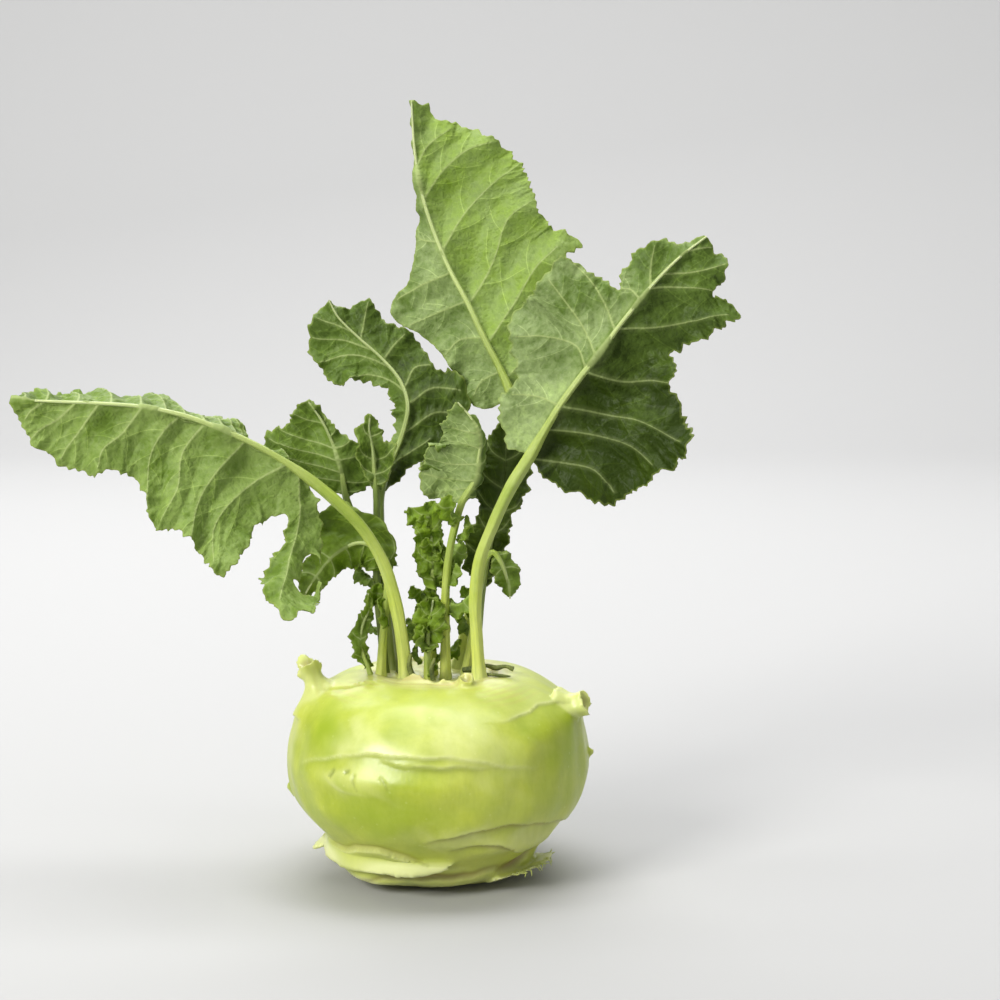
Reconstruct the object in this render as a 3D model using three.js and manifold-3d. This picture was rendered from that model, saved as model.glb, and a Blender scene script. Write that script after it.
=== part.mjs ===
// A kohlrabi with its leaves on, standing on the trimmed end of its root.
// Millimetres, +Z up. The origin is the centre of the flat root cut that it rests on,
// -Y is its front, and the long arching leaf reaches towards -X.
import * as THREE from "three";
import { mergeVertices } from "three/addons/utils/BufferGeometryUtils.js";
import Module from "manifold-3d";

const wasm = await Module();
wasm.setup();

// ---- driving dimensions -------------------------------------------------------------------

const BULB_WIDTH = 95;
const BULB_HEIGHT = 65;
const BLADE_THICKNESS = 1;
const FIT_GAP = 0.4; // between a blade and its rib, and between a stalk and the bulb
const STALK_SIDES = 8;
const RING_SPACING = 8; // along a stalk
const BULB_SEGMENTS = 52;
const BULB_ROWS = 26;

// Outline of the bulb from the root cut up to the crown: shares of half the width and of the height.
const BULB_PROFILE = [
  [0.34, 0], [0.5, 0.03], [0.63, 0.085], [0.68, 0.155], [0.77, 0.23], [0.875, 0.31], [0.955, 0.4], [0.99, 0.47],
  [1, 0.585], [0.985, 0.7], [0.94, 0.79], [0.86, 0.87], [0.76, 0.93], [0.61, 0.98], [0.43, 1], [0.25, 0.985],
];
const CROWN_DIP = 0.97;

// Crescent folds left by fallen leaves. turn is degrees round from the front, towards +X;
// reach is how far an arm runs to each side, in degrees; rise lifts the ends of the arms.
const LEAF_SCARS = [
  { turn: -26, height: 39, reach: 62, rise: -4, bulge: 1.8, spread: 4.5 },
  { turn: -80, height: 57, reach: 34, rise: -7, bulge: 1.8, spread: 5 },
  { turn: 70, height: 54, reach: 44, rise: -7, bulge: 2, spread: 5 },
  { turn: 40, height: 18, reach: 42, rise: -5, bulge: 2.4, spread: 3.5 },
  { turn: -46, height: 8, reach: 34, rise: -4, bulge: 4, spread: 4 },
  { turn: 52, height: 7, reach: 26, rise: -3, bulge: 4, spread: 3.5 },
  { turn: 118, height: 34, reach: 50, rise: 5, bulge: 2, spread: 4.5 },
  { turn: 172, height: 50, reach: 46, rise: -6, bulge: 2, spread: 5 },
  { turn: -135, height: 30, reach: 54, rise: -5, bulge: 2.2, spread: 4.5 },
  { turn: 160, height: 16, reach: 44, rise: 4, bulge: 2.6, spread: 4 },
  { turn: -105, height: 12, reach: 30, rise: -3, bulge: 3, spread: 4 },
];

// What is left of stalks that were cut off: where each stands, how steeply it points, and its size.
const STALK_STUBS = [
  { turn: -80, height: 58, lean: 58, length: 9, foot: 6, tip: 2.6 },
  { turn: 71, height: 55, lean: 22, length: 8, foot: 5.5, tip: 3 },
  { turn: 8, height: 63, lean: 66, length: 5, foot: 5.5, tip: 3 },
  { turn: 172, height: 53, lean: 40, length: 8, foot: 5.5, tip: 2.8 },
];

// ---- the leaves ---------------------------------------------------------------------------
// stalk: points from the crown to the foot of the blade. rib: points from there to the tip.
// radii: of the stalk at the crown and at the foot of the blade, and of the rib at the tip.
// face: the way from the rib to the blade. left and right: the two halves, seen with the tip up;
// each leaves the rib along spread and has bent half-way over to hang by the time it is reach away,
// with one direction for the foot and one for the tip.
// veins: rows across the blade, from the foot to the tip, each
// [place on the rib, along and out at the left margin, along and out at the right margin].

const LEAVES = {
  left_leaf: {
    colour: "leaf_blade",
    stalk: [[-9, -9, 60], [-10.5, -9.5, 75.5], [-12.5, -10.5, 88], [-16, -12, 101], [-22, -13.5, 112],
      [-29.5, -15, 120.5], [-38, -16, 128]],
    rib: [[-38, -16, 128], [-46, -17.5, 134], [-55, -19, 139.5], [-66.5, -21, 145], [-77, -22.5, 149],
      [-89, -23.5, 151.5], [-101, -24, 152.5], [-113, -24, 153], [-127.5, -23, 153.5]],
    radii: [2.5, 1.9, 0.5],
    face: [0, 0.85, -0.5],
    left: { reach: 46, spread: [[0.35, -0.1, -1], [0.1, -0.2, -1]], hang: [[0.5, -0.45, -0.9], [0.1, -0.35, -0.9]] },
    right: { reach: 29, spread: [[0, 0.95, 0.15], [0, 0.9, 0.3]], hang: [[0, 0.8, -0.5], [0, 0.9, -0.1]] },
    veins: [
      [0, -1, 1.5, 0, 2], [1, -6.5, 4.5, 2, 4], [3, -15, 12, 6, 8], [5, -24.5, 40, 10, 10], [7, -18, 46.5, 13, 11],
      [10, -7.5, 38.5, 17, 11], [13, -4.5, 20.5, 21, 9], [16, -1, 14, 24, 11], [19, 6.5, 18.5, 28, 15],
      [23, 7.5, 32.5, 33, 20], [27, 11, 42.5, 38, 26], [32, 22.5, 37.5, 43, 29], [37, 32.5, 34.5, 48, 28],
      [42, 44, 35, 53, 25], [49, 52.5, 23.5, 59, 25], [57, 62.5, 19.5, 66, 27], [66, 70.5, 21, 74, 25],
      [76, 80, 18, 82, 19], [86, 90, 11.5, 89, 12], [92, 94, 4.5, 94, 5], [96, 96.5, 1, 96.5, 1],
    ],
  },
  tall_leaf: {
    colour: "leaf_blade",
    stalk: [[6, 11, 60], [9, 12.5, 75], [13.5, 15, 92], [18.5, 18, 112], [25.5, 23, 138], [23.5, 26, 149.5]],
    rib: [[23.5, 26, 149.5], [20, 28, 158], [15, 30, 167.5], [9.5, 33, 179], [3.5, 36, 190], [-2, 39, 203],
      [-5.5, 41, 214], [-8, 43, 228.5], [-9, 44, 245]],
    radii: [2.6, 1.9, 0.5],
    face: [0.1, 1, -0.1],
    left: { reach: 22, spread: [[-0.9, 0.1, -0.3], [-0.95, 0.35, -0.1]], hang: [[-0.9, -0.1, -0.4], [-0.9, 0.4, -0.1]] },
    right: { reach: 40, spread: [[0.95, 0.15, 0.3], [0.95, 0.25, 0.15]], hang: [[0.9, -0.2, 0.1], [0.9, -0.3, -0.1]] },
    veins: [
      [0, -0.5, 4.5, -1, 2], [2, -0.5, 9.5, 2, 8.5], [4, 3.5, 13.5, 5.5, 15], [8, 12.5, 14, 9.5, 21],
      [12, 20.5, 14.5, 12.5, 26.5], [17, 28, 16.5, 18, 30.5], [22, 37.5, 21.5, 26, 33], [27, 43, 24, 32.5, 35],
      [32, 46, 22.5, 35, 41.5], [37, 47.5, 18.5, 42, 37], [43, 50, 13, 51, 35.5], [52, 59, 7.5, 59.5, 35.5],
      [62, 70.5, 3, 73.5, 34.5], [75, 83, 1, 86.5, 28.5], [84, 91, 1, 94, 19], [91, 97.5, 1, 97.5, 9],
      [96, 100.5, 1, 101, 5], [103, 103.5, 0.8, 103.5, 0.8],
    ],
  },
  right_leaf: {
    colour: "leaf_blade",
    stalk: [[13.5, -8, 60], [12.5, -9, 77], [12, -10, 89.5], [13.5, -11, 102.5], [17.5, -12, 113.5], [23, -13, 125.5],
      [29, -14, 135.5]],
    rib: [[29, -14, 135.5], [33.5, -15, 143.5], [38, -16, 151], [44, -16.5, 159.5], [50, -17, 167],
      [56, -17, 175.5], [62, -17, 183], [67, -16.5, 189], [74, -16, 196], [82.5, -15, 202.5]],
    radii: [2.2, 2.2, 0.5],
    face: [-0.2, 1, 0.1],
    left: { reach: 36, spread: [[-0.75, 0.4, 0.6], [-0.7, 0.3, 0.6]], hang: [[-0.8, 0.15, 0.5], [-0.75, 0.1, 0.6]] },
    right: { reach: 34, spread: [[0.75, 0.05, -0.65], [0.7, 0.1, -0.6]], hang: [[0.5, -0.6, -0.7], [0.7, -0.5, -0.6]] },
    veins: [
      [0, -1, 2, -2, 3], [1, -2.5, 7.5, -4.5, 9], [3, 3, 14, -2.5, 19.5], [5, 9, 17, -0.5, 29.5],
      [8, 16.5, 16, 9.5, 35.5], [12, 22, 21.5, 21.5, 39.5], [16, 27, 26.5, 35.5, 41.5], [21, 33.5, 28.5, 38, 33],
      [27, 45.5, 28, 42, 25.5], [33, 53, 27.5, 48.5, 21.5], [39, 55, 20, 52, 17.5], [46, 55.5, 11.5, 61, 23],
      [52, 57, 7.5, 78, 25.5], [57, 63, 9.5, 80.5, 20], [63, 69, 11, 76, 16.5], [70, 74, 8.5, 86, 11.5],
      [77, 79, 3, 86, 5.5], [84, 86, 1, 86.5, 1],
    ],
  },
  curled_leaf: {
    colour: "leaf_blade",
    stalk: [[-15, 7, 60], [-16, 9.5, 73], [-17, 12, 85.5], [-18.5, 15, 98], [-19, 18, 109], [-18.5, 20, 120]],
    rib: [[-18.5, 20, 120], [-15, 22, 129.5], [-11.5, 24, 138.5], [-10, 26, 147], [-12.5, 29, 154.5],
      [-18.5, 32, 161.5], [-26.5, 34, 168.5], [-33, 35, 175], [-36, 36, 180.5]],
    radii: [2.4, 1.7, 0.4],
    face: [0, 1, 0.1],
    left: { reach: 18, spread: [[-0.95, 0.1, 0.1], [-0.6, 0.1, -0.75]], hang: [[-0.8, -0.3, 0.2], [-0.6, -0.3, -0.7]] },
    right: { reach: 20, spread: [[0.95, 0.1, -0.1], [0.7, 0.2, 0.7]], hang: [[0.8, -0.25, -0.1], [0.6, 0.3, 0.6]] },
    veins: [
      [0, 2, 1, 0, 1.5], [3, 9.5, 1.5, 12, 7.5], [7, 20, 3.5, 20, 13], [13, 29, 5, 25.5, 18], [18, 38.5, 6, 29, 20],
      [22, 45.5, 8.5, 33, 19.5], [27, 50, 12.5, 36.5, 13], [31, 51, 15.5, 41.5, 12], [35, 55, 16, 47.5, 13],
      [39, 63, 16, 51, 10], [43, 67.5, 12.5, 58, 10], [48, 70, 8.5, 65.5, 10.5], [56, 72.5, 5, 69, 3],
      [70, 73.5, 0.8, 73.5, 0.8],
    ],
  },
  frilled_leaf: {
    colour: "leaf_blade",
    stalk: [[-11, 2, 60], [-12.5, 4.5, 75], [-15.5, 6, 90], [-24, 7.5, 107.5], [-29, 8, 119.5]],
    rib: [[-29, 8, 119.5], [-30.5, 8.5, 128], [-33, 9, 136], [-36.5, 9.5, 143.5], [-41, 10, 150]],
    radii: [1.7, 1.3, 0.4],
    face: [0, 1, 0],
    left: { reach: 24, spread: [[-0.9, 0.1, -0.3], [-0.9, 0.2, -0.3]], hang: [[-0.9, -0.2, -0.4], [-0.9, 0.3, -0.3]] },
    right: { reach: 14, spread: [[0.9, 0.1, 0.3], [0.9, 0.2, 0.3]], hang: [[0.9, -0.3, 0.2], [0.8, -0.4, 0.2]] },
    veins: [
      [0, 1, 1.5, -0.5, 1], [2, 4, 8.5, 1, 5.5], [5, 13.5, 16, 4.5, 11.5], [8, 27.5, 22, 8.5, 11.5],
      [12, 32.5, 20, 13, 11], [16, 32.5, 14, 16.5, 6], [20, 31, 10.5, 21.5, 3], [24, 33, 6.5, 27.5, 2],
      [28, 33.5, 2.5, 31, 1.5], [33, 33.5, 0.8, 33.5, 0.8],
    ],
  },
  forked_leaf: {
    colour: "leaf_blade",
    stalk: [[-16.5, -0.5, 60], [-17.5, 0, 75], [-19, 1, 92], [-19, 1, 113], [-19, 0, 122]],
    rib: [[-19, 0, 122], [-19.5, -0.5, 129], [-20, -1, 136], [-21, -1.5, 142], [-20.5, -2, 147.5]],
    radii: [1.6, 1.2, 0.4],
    face: [0, 1, 0],
    left: { reach: 8, spread: [[-0.9, -0.3, -0.1], [-0.9, -0.3, -0.1]], hang: [[-0.9, -0.6, -0.1], [-0.9, -0.6, -0.1]] },
    right: { reach: 8, spread: [[0.9, -0.3, 0.1], [0.9, -0.3, 0.1]], hang: [[0.9, -0.6, 0.1], [0.9, -0.6, 0.1]] },
    veins: [
      [0, 1, 1, 0, 1.2], [3, 5, 3, 4, 4.5], [6, 10, 5, 9, 7], [10, 16, 5, 14.5, 8], [14, 19.5, 4.3, 15.5, 4],
      [18, 22, 2.5, 19, 4], [25, 25.5, 0.8, 25.5, 0.8],
    ],
  },
  low_leaf: {
    colour: "leaf_blade",
    stalk: [[-18, -5, 60], [-17, -5, 75.5], [-16, -5, 86.5], [-15.5, -5, 97]],
    rib: [[-15.5, -5, 97], [-18.5, -5, 104.5], [-24, -5.5, 107], [-31, -6, 104], [-37, -6.5, 97.5], [-42, -7, 89.5]],
    radii: [1.7, 1.3, 0.4],
    face: [0, 1, 0],
    left: { reach: 14, spread: [[-0.75, 0.1, -0.65], [0.8, 0.1, -0.5]], hang: [[-0.7, -0.3, -0.7], [0.7, -0.3, -0.6]] },
    right: { reach: 14, spread: [[0.75, 0.1, 0.65], [-0.8, 0.1, 0.5]], hang: [[0.6, 0.1, 0.6], [-0.7, -0.1, 0.5]] },
    veins: [
      [0, 0, 1.5, 1, 2], [3, 3, 6, 10, 7.5], [7, 8, 9, 14, 10], [13, 14, 9, 17, 13], [19, 21, 7, 21, 13],
      [25, 29, 5, 27, 6], [32, 35, 4, 34, 5], [40, 40.5, 0.8, 40.5, 0.8],
    ],
  },
  centre_leaf: {
    colour: "leaf_blade",
    stalk: [[2.5, -4, 60], [2.5, -4, 76], [2.5, -4, 88.5], [3.5, -4.5, 101.5], [5.5, -5, 111.5], [8, -5, 120]],
    rib: [[8, -5, 120], [11.5, -5.5, 126], [13, -6, 133], [13.5, -7, 139.5], [11, -7.5, 146], [6.5, -8, 151.5]],
    radii: [1.8, 1.3, 0.4],
    face: [0.1, 1, 0],
    left: { reach: 18, spread: [[-1, 0.1, 0.1], [-0.95, 0.1, -0.2]], hang: [[-0.9, -0.2, 0], [-0.9, 0.3, -0.2]] },
    right: { reach: 6, spread: [[0.5, 0.85, 0], [0.5, 0.85, 0]], hang: [[0.2, 0.95, 0], [0.2, 0.95, 0]] },
    veins: [
      [0, -1.5, 2, 0, 1.5], [2, -2, 7, 4, 3.5], [5, -2, 12, 9, 5], [8, 1, 16, 13, 5.5], [13, 12, 17, 18, 5.5],
      [18, 25, 12.5, 23, 5], [23, 32, 9, 28, 4], [28, 34, 4.5, 31, 2.5], [34.5, 35, 0.8, 35, 0.8],
    ],
  },
  dark_leaf: {
    colour: "leaf_blade",
    stalk: [[12, 3, 60], [12.5, 6, 74], [14, 8, 90]],
    rib: [[14, 8, 90], [16.5, 8.5, 103], [19.5, 8.5, 117], [21.5, 8, 131], [21.5, 7.5, 145]],
    radii: [1.8, 1.4, 0.4],
    face: [0, -1, 0],
    left: { reach: 9, spread: [[-0.95, -0.2, 0], [-0.95, -0.2, 0]], hang: [[-0.9, 0.4, 0], [-0.9, 0.3, 0]] },
    right: { reach: 9, spread: [[0.95, -0.2, 0], [0.95, -0.2, 0]], hang: [[0.9, 0.4, 0], [0.9, 0.3, 0]] },
    veins: [
      [0, 1, 1.5, 1, 1.5], [3, 6, 6, 6, 4], [10, 14, 8, 15, 5.5], [18, 23, 6, 24, 4.5], [25, 31, 8, 31, 7.5],
      [33, 40, 9, 40, 8.5], [42, 48, 7, 48, 7], [54, 55, 0.8, 55, 0.8],
    ],
  },
  side_leaf: {
    colour: "leaf_blade",
    stalk: [[8, -1, 60], [10.5, 0, 75], [13.5, 1, 92], [15.5, 1, 101], [17.5, 0.5, 103]],
    rib: [[17.5, 0.5, 103], [20, 0, 100], [22, -1, 94.5], [23, -1.5, 88]],
    radii: [1.4, 1.1, 0.4],
    face: [0.6, 0.8, 0.5],
    left: { reach: 5, spread: [[0.4, 0.6, 0.4], [0.9, 0.4, 0.1]], hang: [[0.4, 0.4, 0.4], [0.9, 0.3, 0]] },
    right: { reach: 5, spread: [[-0.6, 0.1, -0.6], [-0.8, 0.4, 0]], hang: [[-0.5, 0, -0.6], [-0.8, 0.2, 0]] },
    veins: [
      [0, 0, 1, 0, 1], [2, 3, 3.5, 3, 3.5], [6, 8, 4.5, 8, 4.5], [10, 12, 3.5, 12, 3.5], [15, 15.5, 0.8, 15.5, 0.8],
    ],
  },
  strip_leaf: {
    colour: "leaf_blade",
    stalk: [[-19, -6, 57], [-21.5, -6, 67]],
    rib: [[-21.5, -6, 67], [-23.5, -6, 73], [-23.5, -6, 80], [-21, -5.5, 87], [-21.5, -5, 91]],
    radii: [1.2, 0.9, 0.4],
    face: [0, -1, 0],
    left: { reach: 3, spread: [[-0.9, -0.4, 0], [-0.9, -0.4, 0]], hang: [[-0.8, 0.3, 0], [-0.8, 0.3, 0]] },
    right: { reach: 3, spread: [[0.9, -0.4, 0], [0.9, -0.4, 0]], hang: [[0.8, 0.3, 0], [0.8, 0.3, 0]] },
    veins: [
      [0, 0, 0.9, 0, 0.9], [4, 6, 2.4, 6, 2], [10, 12, 3, 12, 2.4], [16, 18, 2.4, 18, 2.2], [24, 24.5, 0.8, 24.5, 0.8],
    ],
  },
  young_leaf_upper: {
    colour: "young_leaf",
    stalk: [[-1.5, 3.5, 60], [-1.5, 3, 75], [-1, 1.5, 87.5], [-1.5, 1, 91.5]],
    rib: [[-1.5, 1, 91.5], [-1.5, 0.5, 100.5], [-2, 0, 110], [-4, -0.5, 119]],
    radii: [1.5, 1.2, 0.4],
    face: [0, -1, 0],
    left: { reach: 8, spread: [[-0.8, -0.5, 0], [-0.8, -0.5, 0]], hang: [[-0.9, 0.2, 0], [-0.9, 0.2, 0]] },
    right: { reach: 8, spread: [[0.8, -0.2, 0], [0.8, -0.5, 0]], hang: [[0.9, 0.5, 0], [0.9, 0.2, 0]] },
    veins: [
      [0, 0, 1, 0, 1.3], [3, 5, 5, 6, 4], [8, 14, 6, 13, 3.5], [13, 22, 5.5, 20, 4], [18, 26, 8, 25, 6],
      [23, 27, 4, 27, 4], [27.5, 28, 0.8, 28, 0.8],
    ],
  },
  young_leaf_lower: {
    colour: "young_leaf",
    stalk: [[-2.5, -9, 60], [-3, -8.5, 69.5], [-3, -8, 73]],
    rib: [[-3, -8, 73], [-2.5, -8.5, 80.5], [-1, -8, 90]],
    radii: [1.3, 1.1, 0.4],
    face: [0, -1, 0],
    left: { reach: 5, spread: [[-0.8, -0.5, 0], [-0.8, -0.5, 0]], hang: [[-0.9, 0.2, 0], [-0.9, 0.2, 0]] },
    right: { reach: 5, spread: [[0.8, -0.5, 0], [0.8, -0.5, 0]], hang: [[0.9, 0.2, 0], [0.9, 0.2, 0]] },
    veins: [
      [0, 0, 0.9, 0, 1.2], [2, 3.5, 3.6, 4, 4.5], [6, 9, 5.5, 11, 5.5], [11, 15, 4.5, 16, 3.5],
      [17, 17.3, 0.7, 17.3, 0.7],
    ],
  },
};

// ---- finishes -----------------------------------------------------------------------------

const finish = (colour, roughness) => new THREE.MeshStandardMaterial({ color: colour, roughness, metalness: 0 });
const FINISHES = {
  bulb_skin: finish(0xb9c44f, 0.42),
  leaf_stalk: finish(0xa9bb63, 0.45),
  leaf_blade: finish(0x7f9c55, 0.6),
  young_leaf: finish(0x7d993c, 0.6),
};

// ---- shared geometry ----------------------------------------------------------------------

const vector = ([x, y, z]) => new THREE.Vector3(x, y, z);
const radians = THREE.MathUtils.degToRad;

// A mesh geometry as a manifold-3d solid: only the positions count, and shared vertices are merged.
function toSolid(geometry) {
  const bare = new THREE.BufferGeometry().setAttribute("position", geometry.getAttribute("position"));
  if (geometry.index) bare.setIndex(geometry.index);
  const merged = mergeVertices(bare, 1e-4);
  return new wasm.Manifold(new wasm.Mesh({
    numProp: 3,
    vertProperties: new Float32Array(merged.attributes.position.array),
    triVerts: new Uint32Array(merged.index.array),
  }));
}

function toGeometry(solid) {
  const mesh = solid.getMesh();
  return new THREE.BufferGeometry()
    .setAttribute("position", new THREE.BufferAttribute(mesh.vertProperties, 3))
    .setIndex(new THREE.BufferAttribute(mesh.triVerts, 1));
}

function namedMesh(name, geometry, slot) {
  geometry.computeVertexNormals();
  const mesh = new THREE.Mesh(geometry, FINISHES[slot]);
  mesh.name = name;
  return mesh;
}

// ---- the bulb -----------------------------------------------------------------------------

// How far the skin stands out at a place on the bulb, from all the folds together.
function foldHeight(turn, height) {
  let total = 0;
  for (const scar of LEAF_SCARS) {
    const away = (THREE.MathUtils.euclideanModulo(turn - scar.turn + 180, 360) - 180) / scar.reach;
    if (Math.abs(away) >= 1) continue;
    const crest = scar.height + scar.rise * away ** 2;
    total += scar.bulge * (1 - away ** 2) ** 2 * Math.exp(-(((height - crest) / scar.spread) ** 2));
  }
  return total;
}

// The bulb's body, revolved and then pushed out by its folds. grow makes it larger all over.
function bulbBody(grow = 0) {
  const outline = new THREE.SplineCurve(
    BULB_PROFILE.map(([r, z]) => new THREE.Vector2(r * BULB_WIDTH / 2, z * BULB_HEIGHT)),
  ).getPoints(BULB_ROWS);
  const profile = [new THREE.Vector2(0, 0), ...outline, new THREE.Vector2(0, CROWN_DIP * BULB_HEIGHT)];
  const body = new THREE.LatheGeometry(profile, BULB_SEGMENTS);
  body.rotateX(Math.PI / 2);
  const places = body.getAttribute("position");
  const centre = new THREE.Vector3(0, 0, BULB_HEIGHT / 2);
  for (let i = 0; i < places.count; i++) {
    const place = new THREE.Vector3().fromBufferAttribute(places, i);
    const onCut = place.z < 0.01;
    const turn = THREE.MathUtils.radToDeg(Math.atan2(place.x, -place.y));
    const outward = place.clone().sub(centre).normalize();
    const raised = (onCut ? 0 : foldHeight(turn, place.z)) + grow;
    place.addScaledVector(outward, raised);
    if (onCut && !grow) place.z = 0;
    places.setXYZ(i, place.x, place.y, Math.max(place.z, -grow));
  }
  return toSolid(body);
}

// A cut stalk's stump: a cone from inside the bulb, leaning out of it.
function stubSolid({ turn, height, lean, length, foot, tip }) {
  const around = radians(turn);
  const out = new THREE.Vector3(Math.sin(around), -Math.cos(around), 0);
  const along = out.clone().multiplyScalar(Math.cos(radians(lean))).setZ(Math.sin(radians(lean)));
  const skinRadius = bulbRadiusAt(height);
  const start = out.multiplyScalar(skinRadius).setZ(height).addScaledVector(along, -length / 2);
  const cone = new THREE.CylinderGeometry(tip, foot, length * 1.5, 12);
  cone.translate(0, length * 0.75, 0);
  cone.applyQuaternion(new THREE.Quaternion().setFromUnitVectors(new THREE.Vector3(0, 1, 0), along));
  cone.translate(start.x, start.y, start.z);
  return toSolid(cone);
}

// The bulb's plain radius at a height, read off its profile.
function bulbRadiusAt(height) {
  const share = height / BULB_HEIGHT;
  const above = BULB_PROFILE.findIndex(([, z]) => z >= share);
  const [r0, z0] = BULB_PROFILE[above - 1];
  const [r1, z1] = BULB_PROFILE[above];
  return THREE.MathUtils.mapLinear(share, z0, z1, r0, r1) * BULB_WIDTH / 2;
}

// ---- stalks and ribs ----------------------------------------------------------------------

// The line that a stalk and its rib follow, measured from the foot of the blade.
class Spine {
  constructor({ stalk, rib, radii }) {
    const points = [...stalk, ...rib.slice(1)].map(vector);
    this.curve = new THREE.CatmullRomCurve3(points, false, "centripetal");
    this.length = this.curve.getLength();
    const perPoint = 40;
    const lengths = this.curve.getLengths(perPoint * (points.length - 1));
    this.stalkLength = lengths[perPoint * (stalk.length - 1)];
    this.ribLength = this.length - this.stalkLength;
    this.radii = radii;
  }

  // Point, direction and radius at a distance from the foot: negative on the stalk, positive on the rib.
  at(distance) {
    const share = THREE.MathUtils.clamp((this.stalkLength + distance) / this.length, 0, 1);
    const beyond = Math.max(distance - this.ribLength, 0);
    const [crown, foot, tip] = this.radii;
    const radius = distance < 0
      ? THREE.MathUtils.lerp(foot, crown, -distance / this.stalkLength)
      : THREE.MathUtils.lerp(foot, tip, Math.min(distance / this.ribLength, 1));
    const tangent = this.curve.getTangentAt(share);
    return { point: this.curve.getPointAt(share).addScaledVector(tangent, beyond), tangent, radius };
  }
}

// A closed tapering tube along the whole spine, with round ends left flat.
function stalkSolid(spine) {
  const rings = Math.ceil(spine.length / RING_SPACING);
  const frames = spine.curve.computeFrenetFrames(rings);
  const places = [];
  const faces = [];
  for (let ring = 0; ring <= rings; ring++) {
    const { point, radius } = spine.at(spine.length * ring / rings - spine.stalkLength);
    for (let side = 0; side < STALK_SIDES; side++) {
      const angle = 2 * Math.PI * side / STALK_SIDES;
      const rim = point.clone()
        .addScaledVector(frames.normals[ring], radius * Math.cos(angle))
        .addScaledVector(frames.binormals[ring], radius * Math.sin(angle));
      places.push(...rim.toArray());
      if (ring === rings) continue;
      const next = (side + 1) % STALK_SIDES;
      const [a, b] = [ring * STALK_SIDES + side, ring * STALK_SIDES + next];
      faces.push(a, b, b + STALK_SIDES, a, b + STALK_SIDES, a + STALK_SIDES);
    }
  }
  const last = rings * STALK_SIDES;
  for (let side = 1; side < STALK_SIDES - 1; side++) {
    faces.push(0, side + 1, side);
    faces.push(last, last + side, last + side + 1);
  }
  const tube = new THREE.BufferGeometry()
    .setAttribute("position", new THREE.Float32BufferAttribute(places, 3))
    .setIndex(faces);
  return toSolid(tube);
}

// ---- blades -------------------------------------------------------------------------------

// A direction that changes from the foot to the tip, kept square to the rib.
function squareTo(tangent, [atFoot, atTip], share) {
  const way = vector(atFoot).lerp(vector(atTip), share);
  return way.addScaledVector(tangent, -way.dot(tangent)).normalize();
}

// Where a place on the flat blade comes to lie: along the rib, and out on one half.
function bladePlace(leaf, spine, half, along, out) {
  const { point, tangent, radius } = spine.at(along);
  const share = THREE.MathUtils.clamp(along / spine.ribLength, 0, 1);
  const spread = squareTo(tangent, half.spread, share);
  const hang = squareTo(tangent, half.hang, share);
  const bend = out / half.reach / 2;
  const face = squareTo(tangent, [leaf.face, leaf.face], share);
  return point
    .addScaledVector(face, radius + FIT_GAP + BLADE_THICKNESS / 2)
    .addScaledVector(spread, out * (1 - bend))
    .addScaledVector(hang, out * bend);
}

// Points at even steps on the smooth line through one column of the vein table.
function smoothColumn(leaf, picks, count) {
  const line = new THREE.SplineCurve(leaf.veins.map((vein) => new THREE.Vector2(vein[picks[0]], vein[picks[1]])));
  return line.getPoints(count);
}

// The blade as a thin closed sheet: a grid of rows that follow the veins, given its thickness.
function bladeSolid(leaf, spine) {
  const rows = Math.ceil((leaf.veins.length - 1) * 1.4);
  const acrossHalf = spine.ribLength > 60 ? 3 : 2;
  const roots = smoothColumn(leaf, [0, 0], rows);
  const margins = { left: smoothColumn(leaf, [1, 2], rows), right: smoothColumn(leaf, [3, 4], rows) };
  const columns = 2 * acrossHalf + 1;
  const middle = [];
  for (let row = 0; row <= rows; row++) {
    for (let column = 0; column < columns; column++) {
      const side = column < acrossHalf ? "left" : "right";
      const share = Math.abs(column - acrossHalf) / acrossHalf;
      const margin = margins[side][row];
      const along = THREE.MathUtils.lerp(roots[row].x, margin.x, share);
      middle.push(bladePlace(leaf, spine, leaf[side], along, Math.max(margin.y, 0.7) * share));
    }
  }
  return thicken(middle, rows + 1, columns);
}

// Gives a grid of points a thickness and closes it round its edge.
function thicken(middle, rowCount, columnCount) {
  const index = (row, column) => row * columnCount + column;
  const sheet = [];
  for (let row = 0; row < rowCount - 1; row++) {
    for (let column = 0; column < columnCount - 1; column++) {
      const [a, b] = [index(row, column), index(row, column + 1)];
      const [c, d] = [index(row + 1, column + 1), index(row + 1, column)];
      sheet.push([a, b, c], [a, c, d]);
    }
  }
  const open = new THREE.BufferGeometry()
    .setAttribute("position", new THREE.Float32BufferAttribute(middle.flatMap((place) => place.toArray()), 3))
    .setIndex(sheet.flat());
  open.computeVertexNormals();
  const normals = open.getAttribute("normal");
  const layer = (offset) => middle.flatMap((place, i) =>
    place.clone().addScaledVector(new THREE.Vector3().fromBufferAttribute(normals, i), offset).toArray());
  const below = middle.length;
  const edge = [
    ...Array.from({ length: columnCount - 1 }, (_, i) => [index(0, i), index(0, i + 1)]),
    ...Array.from({ length: rowCount - 1 }, (_, i) => [index(i, columnCount - 1), index(i + 1, columnCount - 1)]),
    ...Array.from({ length: columnCount - 1 }, (_, i) => [index(rowCount - 1, i + 1), index(rowCount - 1, i)]),
    ...Array.from({ length: rowCount - 1 }, (_, i) => [index(i + 1, 0), index(i, 0)]),
  ];
  const faces = [
    ...sheet.flat(),
    ...sheet.flatMap(([a, b, c]) => [a + below, c + below, b + below]),
    ...edge.flatMap(([a, b]) => [a, a + below, b + below, a, b + below, b]),
  ];
  const closed = new THREE.BufferGeometry()
    .setAttribute("position", new THREE.Float32BufferAttribute(
      [...layer(BLADE_THICKNESS / 2), ...layer(-BLADE_THICKNESS / 2)], 3))
    .setIndex(faces);
  return toSolid(closed);
}

// ---- assembly -----------------------------------------------------------------------------

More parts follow.
